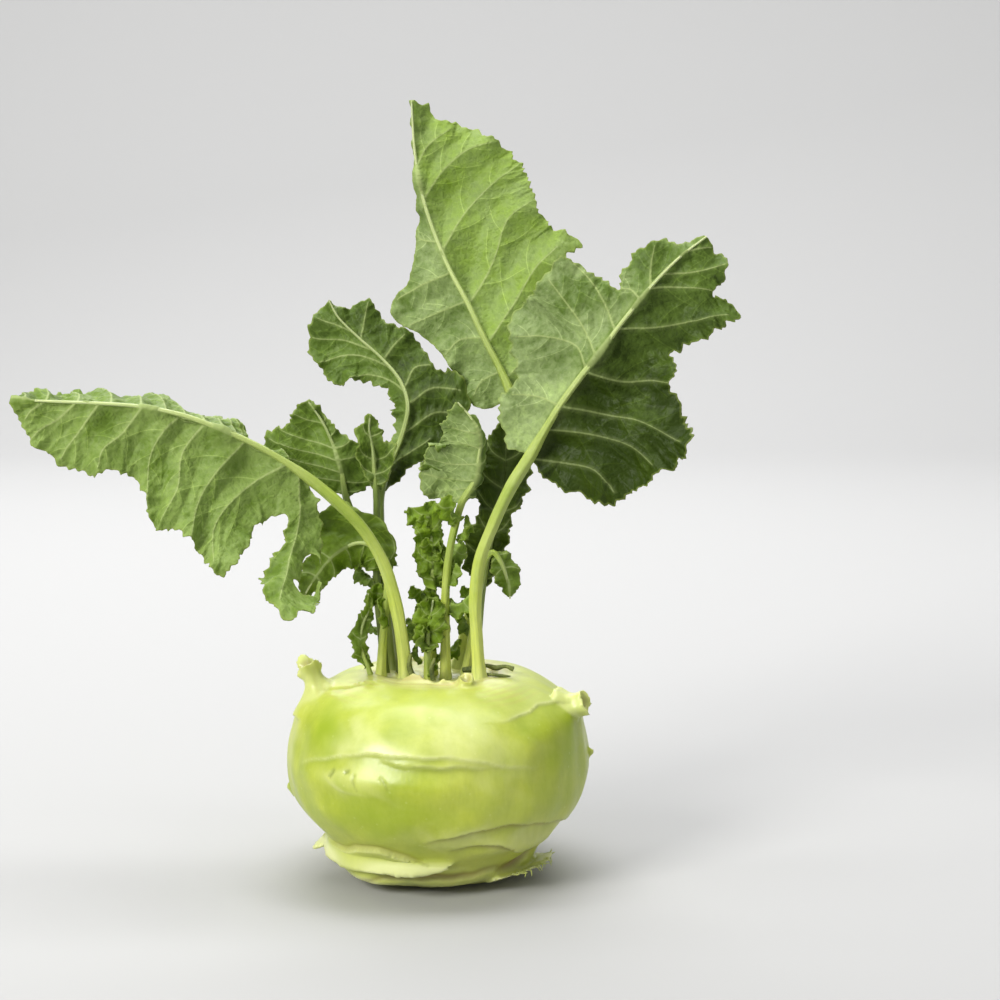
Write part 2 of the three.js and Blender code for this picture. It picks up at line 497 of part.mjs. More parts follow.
const kohlrabi = new THREE.Group();

const bulb = STALK_STUBS.reduce((solid, stub) => solid.add(stubSolid(stub)), bulbBody());
kohlrabi.add(namedMesh("bulb", toGeometry(bulb), "bulb_skin"));

const stalkClearance = STALK_STUBS.reduce(
  (solid, stub) => solid.add(stubSolid({ ...stub, foot: stub.foot + FIT_GAP, tip: stub.tip + FIT_GAP })),
  bulbBody(FIT_GAP),
);
for (const [name, leaf] of Object.entries(LEAVES)) {
  const spine = new Spine(leaf);
  const stalk = stalkSolid(spine).subtract(stalkClearance);
  kohlrabi.add(namedMesh(`${name}_stalk`, toGeometry(stalk), "leaf_stalk"));
  kohlrabi.add(namedMesh(`${name}_blade`, toGeometry(bladeSolid(leaf, spine)), leaf.colour));
}

export default kohlrabi;
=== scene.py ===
# %% [markdown]
# # A kohlrabi with its leaves
#
# The CAD part gives the shapes that carry weight: one bulb, and a stalk and a blade for each leaf.
# This lesson gives each of those pieces its real surface. The blades get toothed margins, veins and
# quilting, the stalks get ribs, and the bulb gets the folds and scars of the leaves it has lost.
#
# Everything is measured in millimetres here and turned into metres when a mesh is made. The bulb
# stands on the floor at the origin, the stalks rise along Z, and -Y is the front.

# %% Load the frame and the libraries
import math

import bmesh
import bpy
import numpy as np
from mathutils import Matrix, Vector
from mathutils.geometry import delaunay_2d_cdt


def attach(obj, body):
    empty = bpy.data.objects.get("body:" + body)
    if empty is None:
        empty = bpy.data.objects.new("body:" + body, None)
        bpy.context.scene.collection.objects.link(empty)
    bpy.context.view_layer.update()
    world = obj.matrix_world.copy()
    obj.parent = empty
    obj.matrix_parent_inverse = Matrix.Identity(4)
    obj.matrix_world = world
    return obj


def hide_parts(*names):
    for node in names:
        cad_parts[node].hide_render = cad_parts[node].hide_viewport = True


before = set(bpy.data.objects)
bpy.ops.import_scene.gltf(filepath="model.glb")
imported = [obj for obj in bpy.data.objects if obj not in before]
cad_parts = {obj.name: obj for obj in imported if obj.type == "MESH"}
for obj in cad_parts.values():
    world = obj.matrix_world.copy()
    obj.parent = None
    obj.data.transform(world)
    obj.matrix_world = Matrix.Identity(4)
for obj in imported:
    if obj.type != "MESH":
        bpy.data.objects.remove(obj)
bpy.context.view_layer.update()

MM = 0.001
MESH_STEP = 0.5  # millimetres between the points of a blade
VOXEL = 0.62  # millimetres to a cell of the bulb's remesh
BATCH = 2000  # points measured at one time

# %% [markdown]
# ## The shape of each leaf
#
# A leaf grows from the crown along a line of points: first the bare stalk, then the rib inside the
# blade. `radii` are the stalk's at the crown, at the blade's foot and at the tip. `face` is the way
# the upper side looks. Each half of the blade leaves the rib along `spread` and bends towards `hang`
# as it nears its `reach`, and both have a value at the foot and one at the tip.
#
# A row of the table is a pair of veins: where they leave the rib, then how far along and how far out
# the margin is on the left, then on the right. `tone` is how pale each half is, at its foot and at its
# tip, and where a half lies in shadow it holds painted shade, as at the foot of the right leaf's right
# half. `fresh` is how yellow each half is. `pleat` is how far the blade bulges between side veins, in
# millimetres, and `crinkle` makes all the smaller relief stronger. `bite` is how strong the teeth of
# each half are, `holes` are outlines in the flat leaf, as places along the rib and out from it, and
# `stalk_shade` is how much painted shade darkens the stalk of a leaf that stands in shadow.

# %% Leaf tables
LEAVES = {
    "left_leaf": dict(
        tone=[[0.64, 0.64], [0.5, 0.52]], fresh=[0.4, 0.3], pleat=2.4,
        holes=[[(-14, -22.5), (-13.5, -19), (-15, -17), (-18, -17.5), (-20, -19.5), (-20.5, -24.5),
                (-20, -29), (-19, -33.5), (-16, -32.5), (-14.5, -30.5), (-16, -28.5)]],
        stalk=[[-9, -9, 60], [-10.5, -9.5, 75.5], [-12.5, -10.5, 88], [-16, -12, 101],
               [-22, -13.5, 112], [-29.5, -15, 120.5], [-38, -16, 128]],
        rib=[[-38, -16, 128], [-46, -17.5, 134], [-55, -19, 139.5], [-66.5, -21, 145],
             [-77, -22.5, 149], [-89, -23.5, 151.5], [-101, -24, 152.5], [-113, -24, 153],
             [-127.5, -23, 153.5]],
        radii=[2.5, 1.9, 0.5], face=[0, 0.85, -0.5],
        left=dict(reach=46, spread=[[0.35, -0.1, -1], [0.1, -0.2, -1]],
                  hang=[[0.5, -0.45, -0.9], [0.1, -0.35, -0.9]]),
        right=dict(reach=29, spread=[[0, 0.95, 0.15], [0, 0.9, 0.3]],
                   hang=[[0, 0.8, -0.5], [0, 0.9, -0.1]]),
        rows=[
            [0, -1, 1.5, 0, 2], [1, -6.5, 4.5, 2, 4], [3, -15, 12, 6, 8], [5, -24.5, 40, 10, 10],
            [7, -18, 46.5, 13, 11], [10, -7.5, 38.5, 17, 11], [13, -4.5, 20.5, 21, 9],
            [16, -1, 14, 24, 11], [19, 6.5, 18.5, 28, 15], [23, 7.5, 32.5, 33, 20],
            [27, 11, 42.5, 38, 26], [32, 22.5, 37.5, 43, 29], [37, 32.5, 34.5, 48, 28],
            [42, 44, 35, 53, 25], [49, 52.5, 23.5, 59, 25], [57, 62.5, 19.5, 66, 27],
            [66, 70.5, 21, 74, 25], [76, 80, 18, 82, 19], [86, 90, 11.5, 89, 12], [92, 94, 4.5, 94, 5],
            [96, 96.5, 1, 96.5, 1],
        ],
    ),
    "tall_leaf": dict(
        tone=[[0.66, 0.7], [0.86, 0.86]], fresh=[0.15, 0.6], crinkle=0.8, pleat=2.0, bite=[0.3, 1.0],
        stalk=[[6, 11, 60], [9, 12.5, 75], [13.5, 15, 92], [18.5, 18, 112], [25.5, 23, 138],
               [23.5, 26, 149.5]],
        rib=[[23.5, 26, 149.5], [20, 28, 158], [15, 30, 167.5], [9.5, 33, 179], [3.5, 36, 190],
             [-2, 39, 203], [-5.5, 41, 214], [-8, 43, 228.5], [-9, 44, 245]],
        radii=[2.6, 1.9, 0.5], face=[0.1, 1, -0.1],
        left=dict(reach=22, spread=[[-0.9, 0.1, -0.3], [-0.95, 0.35, -0.1]],
                  hang=[[-0.9, -0.1, -0.4], [-0.9, 0.4, -0.1]]),
        right=dict(reach=40, spread=[[0.95, 0.15, 0.3], [0.95, 0.25, 0.15]],
                   hang=[[0.9, -0.2, 0.1], [0.9, -0.3, -0.1]]),
        rows=[
            [0, -0.5, 4.5, -1, 2], [2, -0.5, 9.5, 2, 8.5], [4, 3.5, 13.5, 5.5, 15],
            [8, 12.5, 14, 9.5, 21], [12, 20.5, 14.5, 12.5, 26.5], [17, 28, 16.5, 18, 30.5],
            [22, 37.5, 21.5, 26, 33], [27, 43, 24, 32.5, 35], [32, 46, 22.5, 35, 41.5],
            [37, 47.5, 18.5, 42, 37], [43, 50, 13, 51, 35.5], [52, 59, 7.5, 59.5, 35.5],
            [62, 70.5, 3, 73.5, 34.5], [75, 83, 1, 86.5, 28.5], [84, 91, 1, 94, 19],
            [91, 97.5, 1, 97.5, 9], [96, 100.5, 1, 101, 5], [103, 103.5, 0.8, 103.5, 0.8],
        ],
    ),
    "right_leaf": dict(
        # The low tone at the foot of the right half is painted shade: that half lies in shadow.
        tone=[[0.8, 0.48], [-0.22, 0.42]], fresh=[0.1, 0.1], pleat=2.2,
        stalk=[[13.5, -8, 60], [12.5, -9, 77], [12, -10, 89.5], [13.5, -11, 102.5], [17.5, -12, 113.5],
               [23, -13, 125.5], [29, -14, 135.5]],
        rib=[[29, -14, 135.5], [33.5, -15, 143.5], [38, -16, 151], [44, -16.5, 159.5], [50, -17, 167],
             [56, -17, 175.5], [62, -17, 183], [67, -16.5, 189], [74, -16, 196], [82.5, -15, 202.5]],
        radii=[2.2, 2.2, 0.5], face=[-0.2, 1, 0.1],
        left=dict(reach=36, spread=[[-0.75, 0.4, 0.6], [-0.7, 0.3, 0.6]],
                  hang=[[-0.8, 0.15, 0.5], [-0.75, 0.1, 0.6]]),
        right=dict(reach=34, spread=[[0.75, 0.05, -0.65], [0.7, 0.1, -0.6]],
                   hang=[[0.5, -0.6, -0.7], [0.7, -0.5, -0.6]]),
        rows=[
            [0, -1, 2, -2, 3], [1, -2.5, 7.5, -4.5, 9], [3, 3, 14, -2.5, 19.5], [5, 9, 17, -0.5, 29.5],
            [8, 16.5, 16, 9.5, 35.5], [12, 22, 21.5, 21.5, 39.5], [16, 27, 26.5, 35.5, 41.5],
            [21, 33.5, 28.5, 38, 33], [27, 45.5, 28, 42, 25.5], [33, 53, 27.5, 48.5, 21.5],
            [39, 55, 20, 52, 17.5], [46, 55.5, 11.5, 61, 23], [52, 57, 7.5, 78, 25.5],
            [57, 63, 9.5, 80.5, 20], [63, 69, 11, 76, 16.5], [70, 74, 8.5, 86, 11.5],
            [77, 79, 3, 86, 5.5], [84, 86, 1, 86.5, 1],
        ],
    ),
    "curled_leaf": dict(
        tone=[[0.45, 0.45], [0.05, 0.3]], fresh=[0.15, 0.1], crinkle=1.2, pleat=2.2, stalk_shade=0.65,
        stalk=[[-15, 7, 60], [-16, 9.5, 73], [-17, 12, 85.5], [-18.5, 15, 98], [-19, 18, 109],
               [-18.5, 20, 120]],
        rib=[[-18.5, 20, 120], [-15, 22, 129.5], [-11.5, 24, 138.5], [-10, 26, 147],
             [-12.5, 29, 154.5], [-18.5, 32, 161.5], [-26.5, 34, 168.5], [-33, 35, 175],
             [-36, 36, 180.5]],
        radii=[2.4, 1.7, 0.4], face=[0, 1, 0.1],
        left=dict(reach=18, spread=[[-0.95, 0.1, 0.1], [-0.6, 0.1, -0.75]],
                  hang=[[-0.8, -0.3, 0.2], [-0.6, -0.3, -0.7]]),
        right=dict(reach=20, spread=[[0.95, 0.1, -0.1], [0.7, 0.2, 0.7]],
                   hang=[[0.8, -0.25, -0.1], [0.6, 0.3, 0.6]]),
        rows=[
            [0, 2, 1, 0, 1.5], [3, 9.5, 1.5, 12, 7.5], [7, 20, 3.5, 20, 13], [13, 29, 5, 25.5, 18],
            [18, 38.5, 6, 29, 20], [22, 45.5, 8.5, 33, 19.5], [27, 50, 12.5, 36.5, 13],
            [31, 51, 15.5, 41.5, 12], [35, 55, 16, 47.5, 13], [39, 63, 16, 51, 10],
            [43, 67.5, 12.5, 58, 10], [48, 70, 8.5, 65.5, 10.5], [56, 72.5, 5, 69, 3],
            [70, 73.5, 0.8, 73.5, 0.8],
        ],
    ),
    "frilled_leaf": dict(
        tone=[[0.36, 0.4], [0.4, 0.32]], fresh=[0.25, 0.2], crinkle=1.4, pleat=2.4, stalk_shade=0.7,
        stalk=[[-11, 2, 60], [-12.5, 4.5, 75], [-15.5, 6, 90], [-24, 7.5, 107.5], [-29, 8, 119.5]],
        rib=[[-29, 8, 119.5], [-30.5, 8.5, 128], [-33, 9, 136], [-36.5, 9.5, 143.5], [-41, 10, 150]],
        radii=[1.7, 1.3, 0.4], face=[0, 1, 0],
        left=dict(reach=24, spread=[[-0.9, 0.1, -0.3], [-0.9, 0.2, -0.3]],
                  hang=[[-0.9, -0.2, -0.4], [-0.9, 0.3, -0.3]]),
        right=dict(reach=14, spread=[[0.9, 0.1, 0.3], [0.9, 0.2, 0.3]],
                   hang=[[0.9, -0.3, 0.2], [0.8, -0.4, 0.2]]),
        rows=[
            [0, 1, 1.5, -0.5, 1], [2, 4, 8.5, 1, 5.5], [5, 13.5, 16, 4.5, 11.5],
            [8, 27.5, 22, 8.5, 11.5], [12, 32.5, 20, 13, 11], [16, 32.5, 14, 16.5, 6],
            [20, 31, 10.5, 21.5, 3], [24, 33, 6.5, 27.5, 2], [28, 33.5, 2.5, 31, 1.5],
            [33, 33.5, 0.8, 33.5, 0.8],
        ],
    ),
    "forked_leaf": dict(
        tone=[[0.3, 0.3], [0.3, 0.3]], fresh=[0.2, 0.2], crinkle=1.3, stalk_shade=0.75,
        stalk=[[-16.5, -0.5, 60], [-17.5, 0, 75], [-19, 1, 92], [-19, 1, 113], [-19, 0, 122]],
        rib=[[-19, 0, 122], [-19.5, -0.5, 129], [-20, -1, 136], [-21, -1.5, 142], [-20.5, -2, 147.5]],
        radii=[1.6, 1.2, 0.4], face=[0, 1, 0],
        left=dict(reach=8, spread=[[-0.9, -0.3, -0.1], [-0.9, -0.3, -0.1]],
                  hang=[[-0.9, -0.6, -0.1], [-0.9, -0.6, -0.1]]),
        right=dict(reach=8, spread=[[0.9, -0.3, 0.1], [0.9, -0.3, 0.1]],
                   hang=[[0.9, -0.6, 0.1], [0.9, -0.6, 0.1]]),
        rows=[
            [0, 1, 1, 0, 1.2], [3, 5, 3, 4, 4.5], [6, 10, 5, 9, 7], [10, 16, 5, 14.5, 8],
            [14, 19.5, 4.3, 15.5, 4], [18, 22, 2.5, 19, 4], [25, 25.5, 0.8, 25.5, 0.8],
        ],
    ),
    "low_leaf": dict(
        tone=[[0.3, 0.3], [0.35, 0.35]], fresh=[0.5, 0.5], crinkle=1.5, pleat=2.4,
        stalk=[[-18, -5, 60], [-17, -5, 75.5], [-16, -5, 86.5], [-15.5, -5, 97]],
        rib=[[-15.5, -5, 97], [-18.5, -5, 104.5], [-24, -5.5, 107], [-31, -6, 104], [-37, -6.5, 97.5],
             [-42, -7, 89.5]],
        radii=[1.7, 1.3, 0.4], face=[0, 1, 0],
        left=dict(reach=14, spread=[[-0.75, 0.1, -0.65], [0.8, 0.1, -0.5]],
                  hang=[[-0.7, -0.3, -0.7], [0.7, -0.3, -0.6]]),
        right=dict(reach=14, spread=[[0.75, 0.1, 0.65], [-0.8, 0.1, 0.5]],
                   hang=[[0.6, 0.1, 0.6], [-0.7, -0.1, 0.5]]),
        rows=[
            [0, 0, 1.5, 1, 2], [3, 3, 6, 10, 7.5], [7, 8, 9, 14, 10], [13, 14, 9, 17, 13],
            [19, 21, 7, 21, 13], [25, 29, 5, 27, 6], [32, 35, 4, 34, 5], [40, 40.5, 0.8, 40.5, 0.8],
        ],
    ),
    "centre_leaf": dict(
        tone=[[0.72, 0.72], [0.4, 0.4]], fresh=[0.2, 0.2],
        stalk=[[2.5, -4, 60], [2.5, -4, 76], [2.5, -4, 88.5], [3.5, -4.5, 101.5], [5.5, -5, 111.5],
               [8, -5, 120]],
        rib=[[8, -5, 120], [11.5, -5.5, 126], [13, -6, 133], [13.5, -7, 139.5], [11, -7.5, 146],
             [6.5, -8, 151.5]],
        radii=[1.8, 1.3, 0.4], face=[0.1, 1, 0],
        left=dict(reach=18, spread=[[-1, 0.1, 0.1], [-0.95, 0.1, -0.2]],
                  hang=[[-0.9, -0.2, 0], [-0.9, 0.3, -0.2]]),
        right=dict(reach=6, spread=[[0.5, 0.85, 0], [0.5, 0.85, 0]],
                   hang=[[0.2, 0.95, 0], [0.2, 0.95, 0]]),
        rows=[
            [0, -1.5, 2, 0, 1.5], [2, -2, 7, 4, 3.5], [5, -2, 12, 9, 5], [8, 1, 16, 13, 5.5],
            [13, 12, 17, 18, 5.5], [18, 25, 12.5, 23, 5], [23, 32, 9, 28, 4], [28, 34, 4.5, 31, 2.5],
            [34.5, 35, 0.8, 35, 0.8],
        ],
    ),
    "dark_leaf": dict(
        tone=[[-0.14, -0.14], [-0.14, -0.14]], fresh=[0.15, 0.15], crinkle=1.3, stalk_shade=0.5,
        stalk=[[12, 3, 60], [12.5, 6, 74], [14, 8, 90]],
        rib=[[14, 8, 90], [16.5, 8.5, 103], [19.5, 8.5, 117], [21.5, 8, 131], [21.5, 7.5, 145]],
        radii=[1.8, 1.4, 0.4], face=[0, -1, 0],
        left=dict(reach=9, spread=[[-0.95, -0.2, 0], [-0.95, -0.2, 0]],
                  hang=[[-0.9, 0.4, 0], [-0.9, 0.3, 0]]),
        right=dict(reach=9, spread=[[0.95, -0.2, 0], [0.95, -0.2, 0]],
                   hang=[[0.9, 0.4, 0], [0.9, 0.3, 0]]),
        rows=[
            [0, 1, 1.5, 1, 1.5], [3, 6, 6, 6, 4], [10, 14, 8, 15, 5.5], [18, 23, 6, 24, 4.5],
            [25, 31, 8, 31, 7.5], [33, 40, 9, 40, 8.5], [42, 48, 7, 48, 7], [54, 55, 0.8, 55, 0.8],
        ],
    ),
    "side_leaf": dict(
        tone=[[0.4, 0.4], [0.4, 0.4]], fresh=[0.4, 0.4], crinkle=1.4,
        stalk=[[8, -1, 60], [10.5, 0, 75], [13.5, 1, 92], [15.5, 1, 101], [17.5, 0.5, 103]],
        rib=[[17.5, 0.5, 103], [20, 0, 100], [22, -1, 94.5], [23, -1.5, 88]],
        radii=[1.4, 1.1, 0.4], face=[0.6, 0.8, 0.5],
        left=dict(reach=5, spread=[[0.4, 0.6, 0.4], [0.9, 0.4, 0.1]],
                  hang=[[0.4, 0.4, 0.4], [0.9, 0.3, 0]]),
        right=dict(reach=5, spread=[[-0.6, 0.1, -0.6], [-0.8, 0.4, 0]],
                   hang=[[-0.5, 0, -0.6], [-0.8, 0.2, 0]]),
        rows=[
            [0, 0, 1, 0, 1], [2, 3, 3.5, 3, 3.5], [6, 8, 4.5, 8, 4.5], [10, 12, 3.5, 12, 3.5],
            [15, 15.5, 0.8, 15.5, 0.8],
        ],
    ),
    "strip_leaf": dict(
        tone=[[0.6, 0.6], [0.6, 0.6]], fresh=[0.5, 0.5], crinkle=1.5,
        stalk=[[-19, -6, 57], [-21.5, -6, 67]],
        rib=[[-21.5, -6, 67], [-23.5, -6, 73], [-23.5, -6, 80], [-21, -5.5, 87], [-21.5, -5, 91]],
        radii=[1.2, 0.9, 0.4], face=[0, -1, 0],
        left=dict(reach=3, spread=[[-0.9, -0.4, 0], [-0.9, -0.4, 0]],
                  hang=[[-0.8, 0.3, 0], [-0.8, 0.3, 0]]),
        right=dict(reach=3, spread=[[0.9, -0.4, 0], [0.9, -0.4, 0]],
                   hang=[[0.8, 0.3, 0], [0.8, 0.3, 0]]),
        rows=[
            [0, 0, 0.9, 0, 0.9], [4, 6, 2.4, 6, 2], [10, 12, 3, 12, 2.4], [16, 18, 2.4, 18, 2.2],
            [24, 24.5, 0.8, 24.5, 0.8],
        ],
    ),
    "young_leaf_upper": dict(
        tone=[[0.75, 0.75], [0.75, 0.75]], fresh=[0.7, 0.7], crinkle=2.6,
        stalk=[[-1.5, 3.5, 60], [-1.5, 3, 75], [-1, 1.5, 87.5], [-1.5, 1, 91.5]],
        rib=[[-1.5, 1, 91.5], [-1.5, 0.5, 100.5], [-2, 0, 110], [-4, -0.5, 119]],
        radii=[1.5, 1.2, 0.4], face=[0, -1, 0],
        left=dict(reach=8, spread=[[-0.8, -0.5, 0], [-0.8, -0.5, 0]],
                  hang=[[-0.9, 0.2, 0], [-0.9, 0.2, 0]]),
        right=dict(reach=8, spread=[[0.8, -0.2, 0], [0.8, -0.5, 0]],
                   hang=[[0.9, 0.5, 0], [0.9, 0.2, 0]]),
        rows=[
            [0, 0, 1, 0, 1.3], [3, 5, 5, 6, 4], [8, 14, 6, 13, 3.5], [13, 22, 5.5, 20, 4],
            [18, 26, 8, 25, 6], [23, 27, 4, 27, 4], [27.5, 28, 0.8, 28, 0.8],
        ],
    ),
    "young_leaf_lower": dict(
        tone=[[0.7, 0.7], [0.7, 0.7]], fresh=[0.7, 0.7], crinkle=2.6,
        stalk=[[-2.5, -9, 60], [-3, -8.5, 69.5], [-3, -8, 73]],
        rib=[[-3, -8, 73], [-2.5, -8.5, 80.5], [-1, -8, 90]],
        radii=[1.3, 1.1, 0.4], face=[0, -1, 0],
        left=dict(reach=5, spread=[[-0.8, -0.5, 0], [-0.8, -0.5, 0]],
                  hang=[[-0.9, 0.2, 0], [-0.9, 0.2, 0]]),
        right=dict(reach=5, spread=[[0.8, -0.5, 0], [0.8, -0.5, 0]],
                   hang=[[0.9, 0.2, 0], [0.9, 0.2, 0]]),
        rows=[
            [0, 0, 0.9, 0, 1.2], [2, 3.5, 3.6, 4, 4.5], [6, 9, 5.5, 11, 5.5], [11, 15, 4.5, 16, 3.5],
            [17, 17.3, 0.7, 17.3, 0.7],
        ],
    ),
}

# Side veins of the largest leaves, from the rib outwards, as places along the rib and out from it.
VEINS = {
    "left_leaf": dict(
        left=[
            [(4.5, 0), (-4.5, 12), (-10.5, 25.5), (-14.5, 42.5)],
            [(9, 0), (16.5, 13), (21, 28), (15, 40)], [(23.5, 0), (28.5, 14), (30, 24), (28, 35.5)],
            [(37, 0), (40.5, 11), (38, 22), (40, 33)],
            [(44.5, 0), (48.5, 5.5), (51.5, 15), (49, 28.5)],
            [(56.5, 0), (62, 8.5), (67.5, 14), (68.5, 19.5)],
            [(69.5, 0), (74.5, 7.5), (79, 13.5), (80.5, 17)],
            [(76.5, 0), (82, 5), (86.5, 8), (89.5, 11.5)], [(86, 0), (90, 3), (91.5, 5.5)],
        ],
    ),
    "tall_leaf": dict(
        left=[
            [(9.5, 0), (9, 7.5), (6, 11.5)], [(21.5, 0), (24.5, 7.5), (22, 14)],
            [(35, 0), (36.5, 11.5), (37.5, 20)], [(45.5, 0), (46, 12), (46, 20)],
            [(56.5, 0), (59, 4.5), (61.5, 6.5)],
        ],
        right=[
            [(6.5, 0), (9, 8), (9.5, 15.5)], [(19, 0), (26, 11), (34, 24.5), (36.5, 35)],
            [(33.5, 0), (42.5, 14), (55, 24.5), (58, 34)],
            [(53, 0), (62.5, 11.5), (70, 23), (76.5, 33)], [(71, 0), (80, 9), (85.5, 18), (87, 26)],
            [(82.5, 0), (89, 5), (93.5, 12)],
        ],
    ),
    "right_leaf": dict(
        left=[
            [(18, 0), (16, 7.5), (12.5, 14.5)], [(32, 0), (35, 7), (31, 16.5), (26.5, 23.5)],
            [(37, 0), (42.5, 11), (45.5, 20), (47, 26)], [(46.5, 0), (51, 8), (53.5, 16.5), (54, 23)],
            [(58.5, 0), (59, 4), (57, 7)], [(63.5, 0), (69, 5), (73, 7.5)],
        ],
        right=[
            [(-1.5, 0), (2.5, 10), (6.5, 21.5), (4, 30.5)],
            [(9, 0), (15.5, 13.5), (20.5, 27), (20, 36)], [(18, 0), (24, 14), (30.5, 26), (34, 39)],
            [(31, 0), (35.5, 11), (40.5, 18.5), (42.5, 24)],
            [(47, 0), (55, 9.5), (65, 18), (75.5, 24)], [(63, 0), (70, 7.5), (77.5, 15)],
            [(68, 0), (75.5, 6), (85.5, 10.5)], [(78.5, 0), (83, 2), (86.5, 4.5)],
        ],
    ),
    "curled_leaf": dict(
        left=[
            [(33.5, 0), (46.5, 6.5), (50.5, 12.5)], [(43, 0), (55.5, 5.5), (61.5, 15)],
            [(51.5, 0), (62, 5), (67, 11)], [(59.5, 0), (66, 2.5), (70, 6)],
        ],
        right=[
            [(9, 0), (16.5, 5.5), (20.5, 9)], [(19.5, 0), (27, 7.5), (27.5, 17)],
            [(29.5, 0), (32.5, 7.5), (31, 17.5)], [(35, 0), (39, 5.5), (37.5, 12)],
            [(47, 0), (48, 6), (48, 10.5)], [(57, 0), (60.5, 5.5), (63.5, 10)],
        ],
    ),
}

# %% [markdown]
# ## Smooth lines and the spine of a leaf
#
# A centripetal Catmull-Rom line goes through its points without loops, even where they are unevenly
# spaced, so every path in this lesson uses one: stalks, margins, veins and folds.

# %% Smooth lines and spines
def smooth_line(points, steps=12):
    """Points on the smooth line through the given points, with so many steps between two of them."""
    points = np.array(points, float)
    points = np.vstack([2 * points[0] - points[1], points, 2 * points[-1] - points[-2]])
    before, start, end, after = points[:-3], points[1:-2], points[2:-1], points[3:]
    gap = [np.maximum(np.linalg.norm(b - a, axis=1, keepdims=True), 1e-6) ** 0.5
           for a, b in ((before, start), (start, end), (end, after))]
    leave = (start - before) / gap[0] - (end - before) / (gap[0] + gap[1]) + (end - start) / gap[1]
    arrive = (end - start) / gap[1] - (after - start) / (gap[1] + gap[2]) + (after - end) / gap[2]
    leave, arrive = leave * gap[1], arrive * gap[1]
    t = (np.arange(steps) / steps)[None, :, None]
    spans = (start[:, None] * (2 * t**3 - 3 * t**2 + 1) + leave[:, None] * (t**3 - 2 * t**2 + t)
             + end[:, None] * (3 * t**2 - 2 * t**3) + arrive[:, None] * (t**3 - t**2))
    return np.vstack([spans.reshape(-1, points.shape[1]), points[-2]])


def run_of(points):
    """How far along the line each of its points is."""
    return np.concatenate([[0], np.cumsum(np.linalg.norm(np.diff(points, axis=0), axis=1))])


def pairs_of(lines):
    """Every segment of the lines, as its start and its end."""
    return np.vstack([np.stack([line[:-1], line[1:]], axis=1) for line in lines])


def closed(loop):
    """The loop with its first point again at the end."""
    return np.vstack([loop, loop[:1]])


def batches(count):
    """Slices that take so many points a batch at a time, which keeps the tables of distances small."""
    return [slice(first, first + BATCH) for first in range(0, count, BATCH)]


def resample(points, step):
    """The same line with evenly spaced points."""
    run = run_of(points)
    at = np.linspace(0, run[-1], max(2, int(round(run[-1] / step)) + 1))
    return np.stack([np.interp(at, run, column) for column in points.T], axis=1)


def unit(vectors):
    """The vectors at length one."""
    return vectors / np.maximum(np.linalg.norm(vectors, axis=-1, keepdims=True), 1e-9)


class Spine:
    """The line of a leaf's stalk and rib. Distances count from the foot of the blade."""

    def __init__(self, leaf):
        steps = 40
        self.places = smooth_line(leaf["stalk"] + leaf["rib"][1:], steps)
        run = run_of(self.places)
        self.stalk_length = run[steps * (len(leaf["stalk"]) - 1)]
        self.run = run - self.stalk_length
        self.rib_length = self.run[-1]
        self.headings = unit(np.gradient(self.places, run, axis=0))
        self.radii = leaf["radii"]

    def at(self, distance):
        """Places, headings and radii at the given distances."""
        held = np.clip(distance, self.run[0], self.rib_length)
        place, heading = [np.stack([np.interp(held, self.run, column) for column in values.T], axis=-1)
                          for values in (self.places, self.headings)]
        heading = unit(heading)
        beyond = np.maximum(distance - self.rib_length, 0)
        radius = np.interp(distance, [-self.stalk_length, 0, self.rib_length], self.radii)
        return place + heading * beyond[..., None], heading, radius


spines = {name: Spine(leaf) for name, leaf in LEAVES.items()}
for name, spine in spines.items():
    print(f"{name}: stalk {spine.stalk_length:.0f} mm, rib {spine.rib_length:.0f} mm")

# %% [markdown]
# ## From the flat leaf to its place in the air
#
# A leaf is drawn flat first, where margins and veins are easy: one axis runs along the rib and the
# other out from it, negative on the left half. `lay_out` then carries flat points to their places.

# %% Laying the flat leaf out
def between(ends, share):
    """The direction between the one at the foot and the one at the tip."""
    ends = np.array(ends, float)
    return ends[0] + (ends[1] - ends[0]) * share[:, None]


def lay_out(leaf, spine, flat):
    """Flat points (along the rib, out from it) as places in millimetres."""
    along, out = flat[:, 0], flat[:, 1]
    place, heading, radius = spine.at(along)
    share = np.clip(along / spine.rib_length, 0, 1)

    def square(ends):
        """The direction between the two ends, turned square to the rib."""
        way = between(ends, share)
        return unit(way - heading * (way * heading).sum(1, keepdims=True))

    seat = 0.3 * radius + 0.5 * np.minimum(np.abs(out) / 5, 1)
    result = place + square([leaf["face"]] * 2) * seat[:, None]
    for half, mask in ((leaf["left"], out < 0), (leaf["right"], out >= 0)):
        reach = np.abs(out)
        bend = reach / half["reach"] / 2
        spread = square(half["spread"]) * (reach * (1 - bend))[:, None]
        hang = square(half["hang"]) * (reach * bend)[:, None]
        result += (spread + hang) * mask[:, None]
    return result


def upward(leaf, spine, flat):
    """The way the upper side of the blade looks at each flat point."""
    ahead, across = [lay_out(leaf, spine, flat + nudge) - lay_out(leaf, spine, flat - nudge)
                     for nudge in np.array([[0.6, 0], [0, 0.6]])]
    normal = unit(np.cross(ahead, across))
    face = np.array(leaf["face"], float)
    return normal if np.median(normal @ face) > 0 else -normal

# %% [markdown]
# ## Margins
#
# The table gives each blade its lobes. On top of those, the margin has uneven teeth that lean towards
# the tip, and shallower waves a few teeth long.

# %% Margins with teeth
TEETH = [(3.0, 1.15), (9.0, 1.7)]  # spacing and depth in millimetres: the teeth, then the waves


def margin_places(leaf, side):
    """The margin of one half in the table: how far along the rib and how far out from it."""
    first = 1 if side == "left" else 3
    return [(row[first], row[first + 1]) for row in leaf["rows"]]


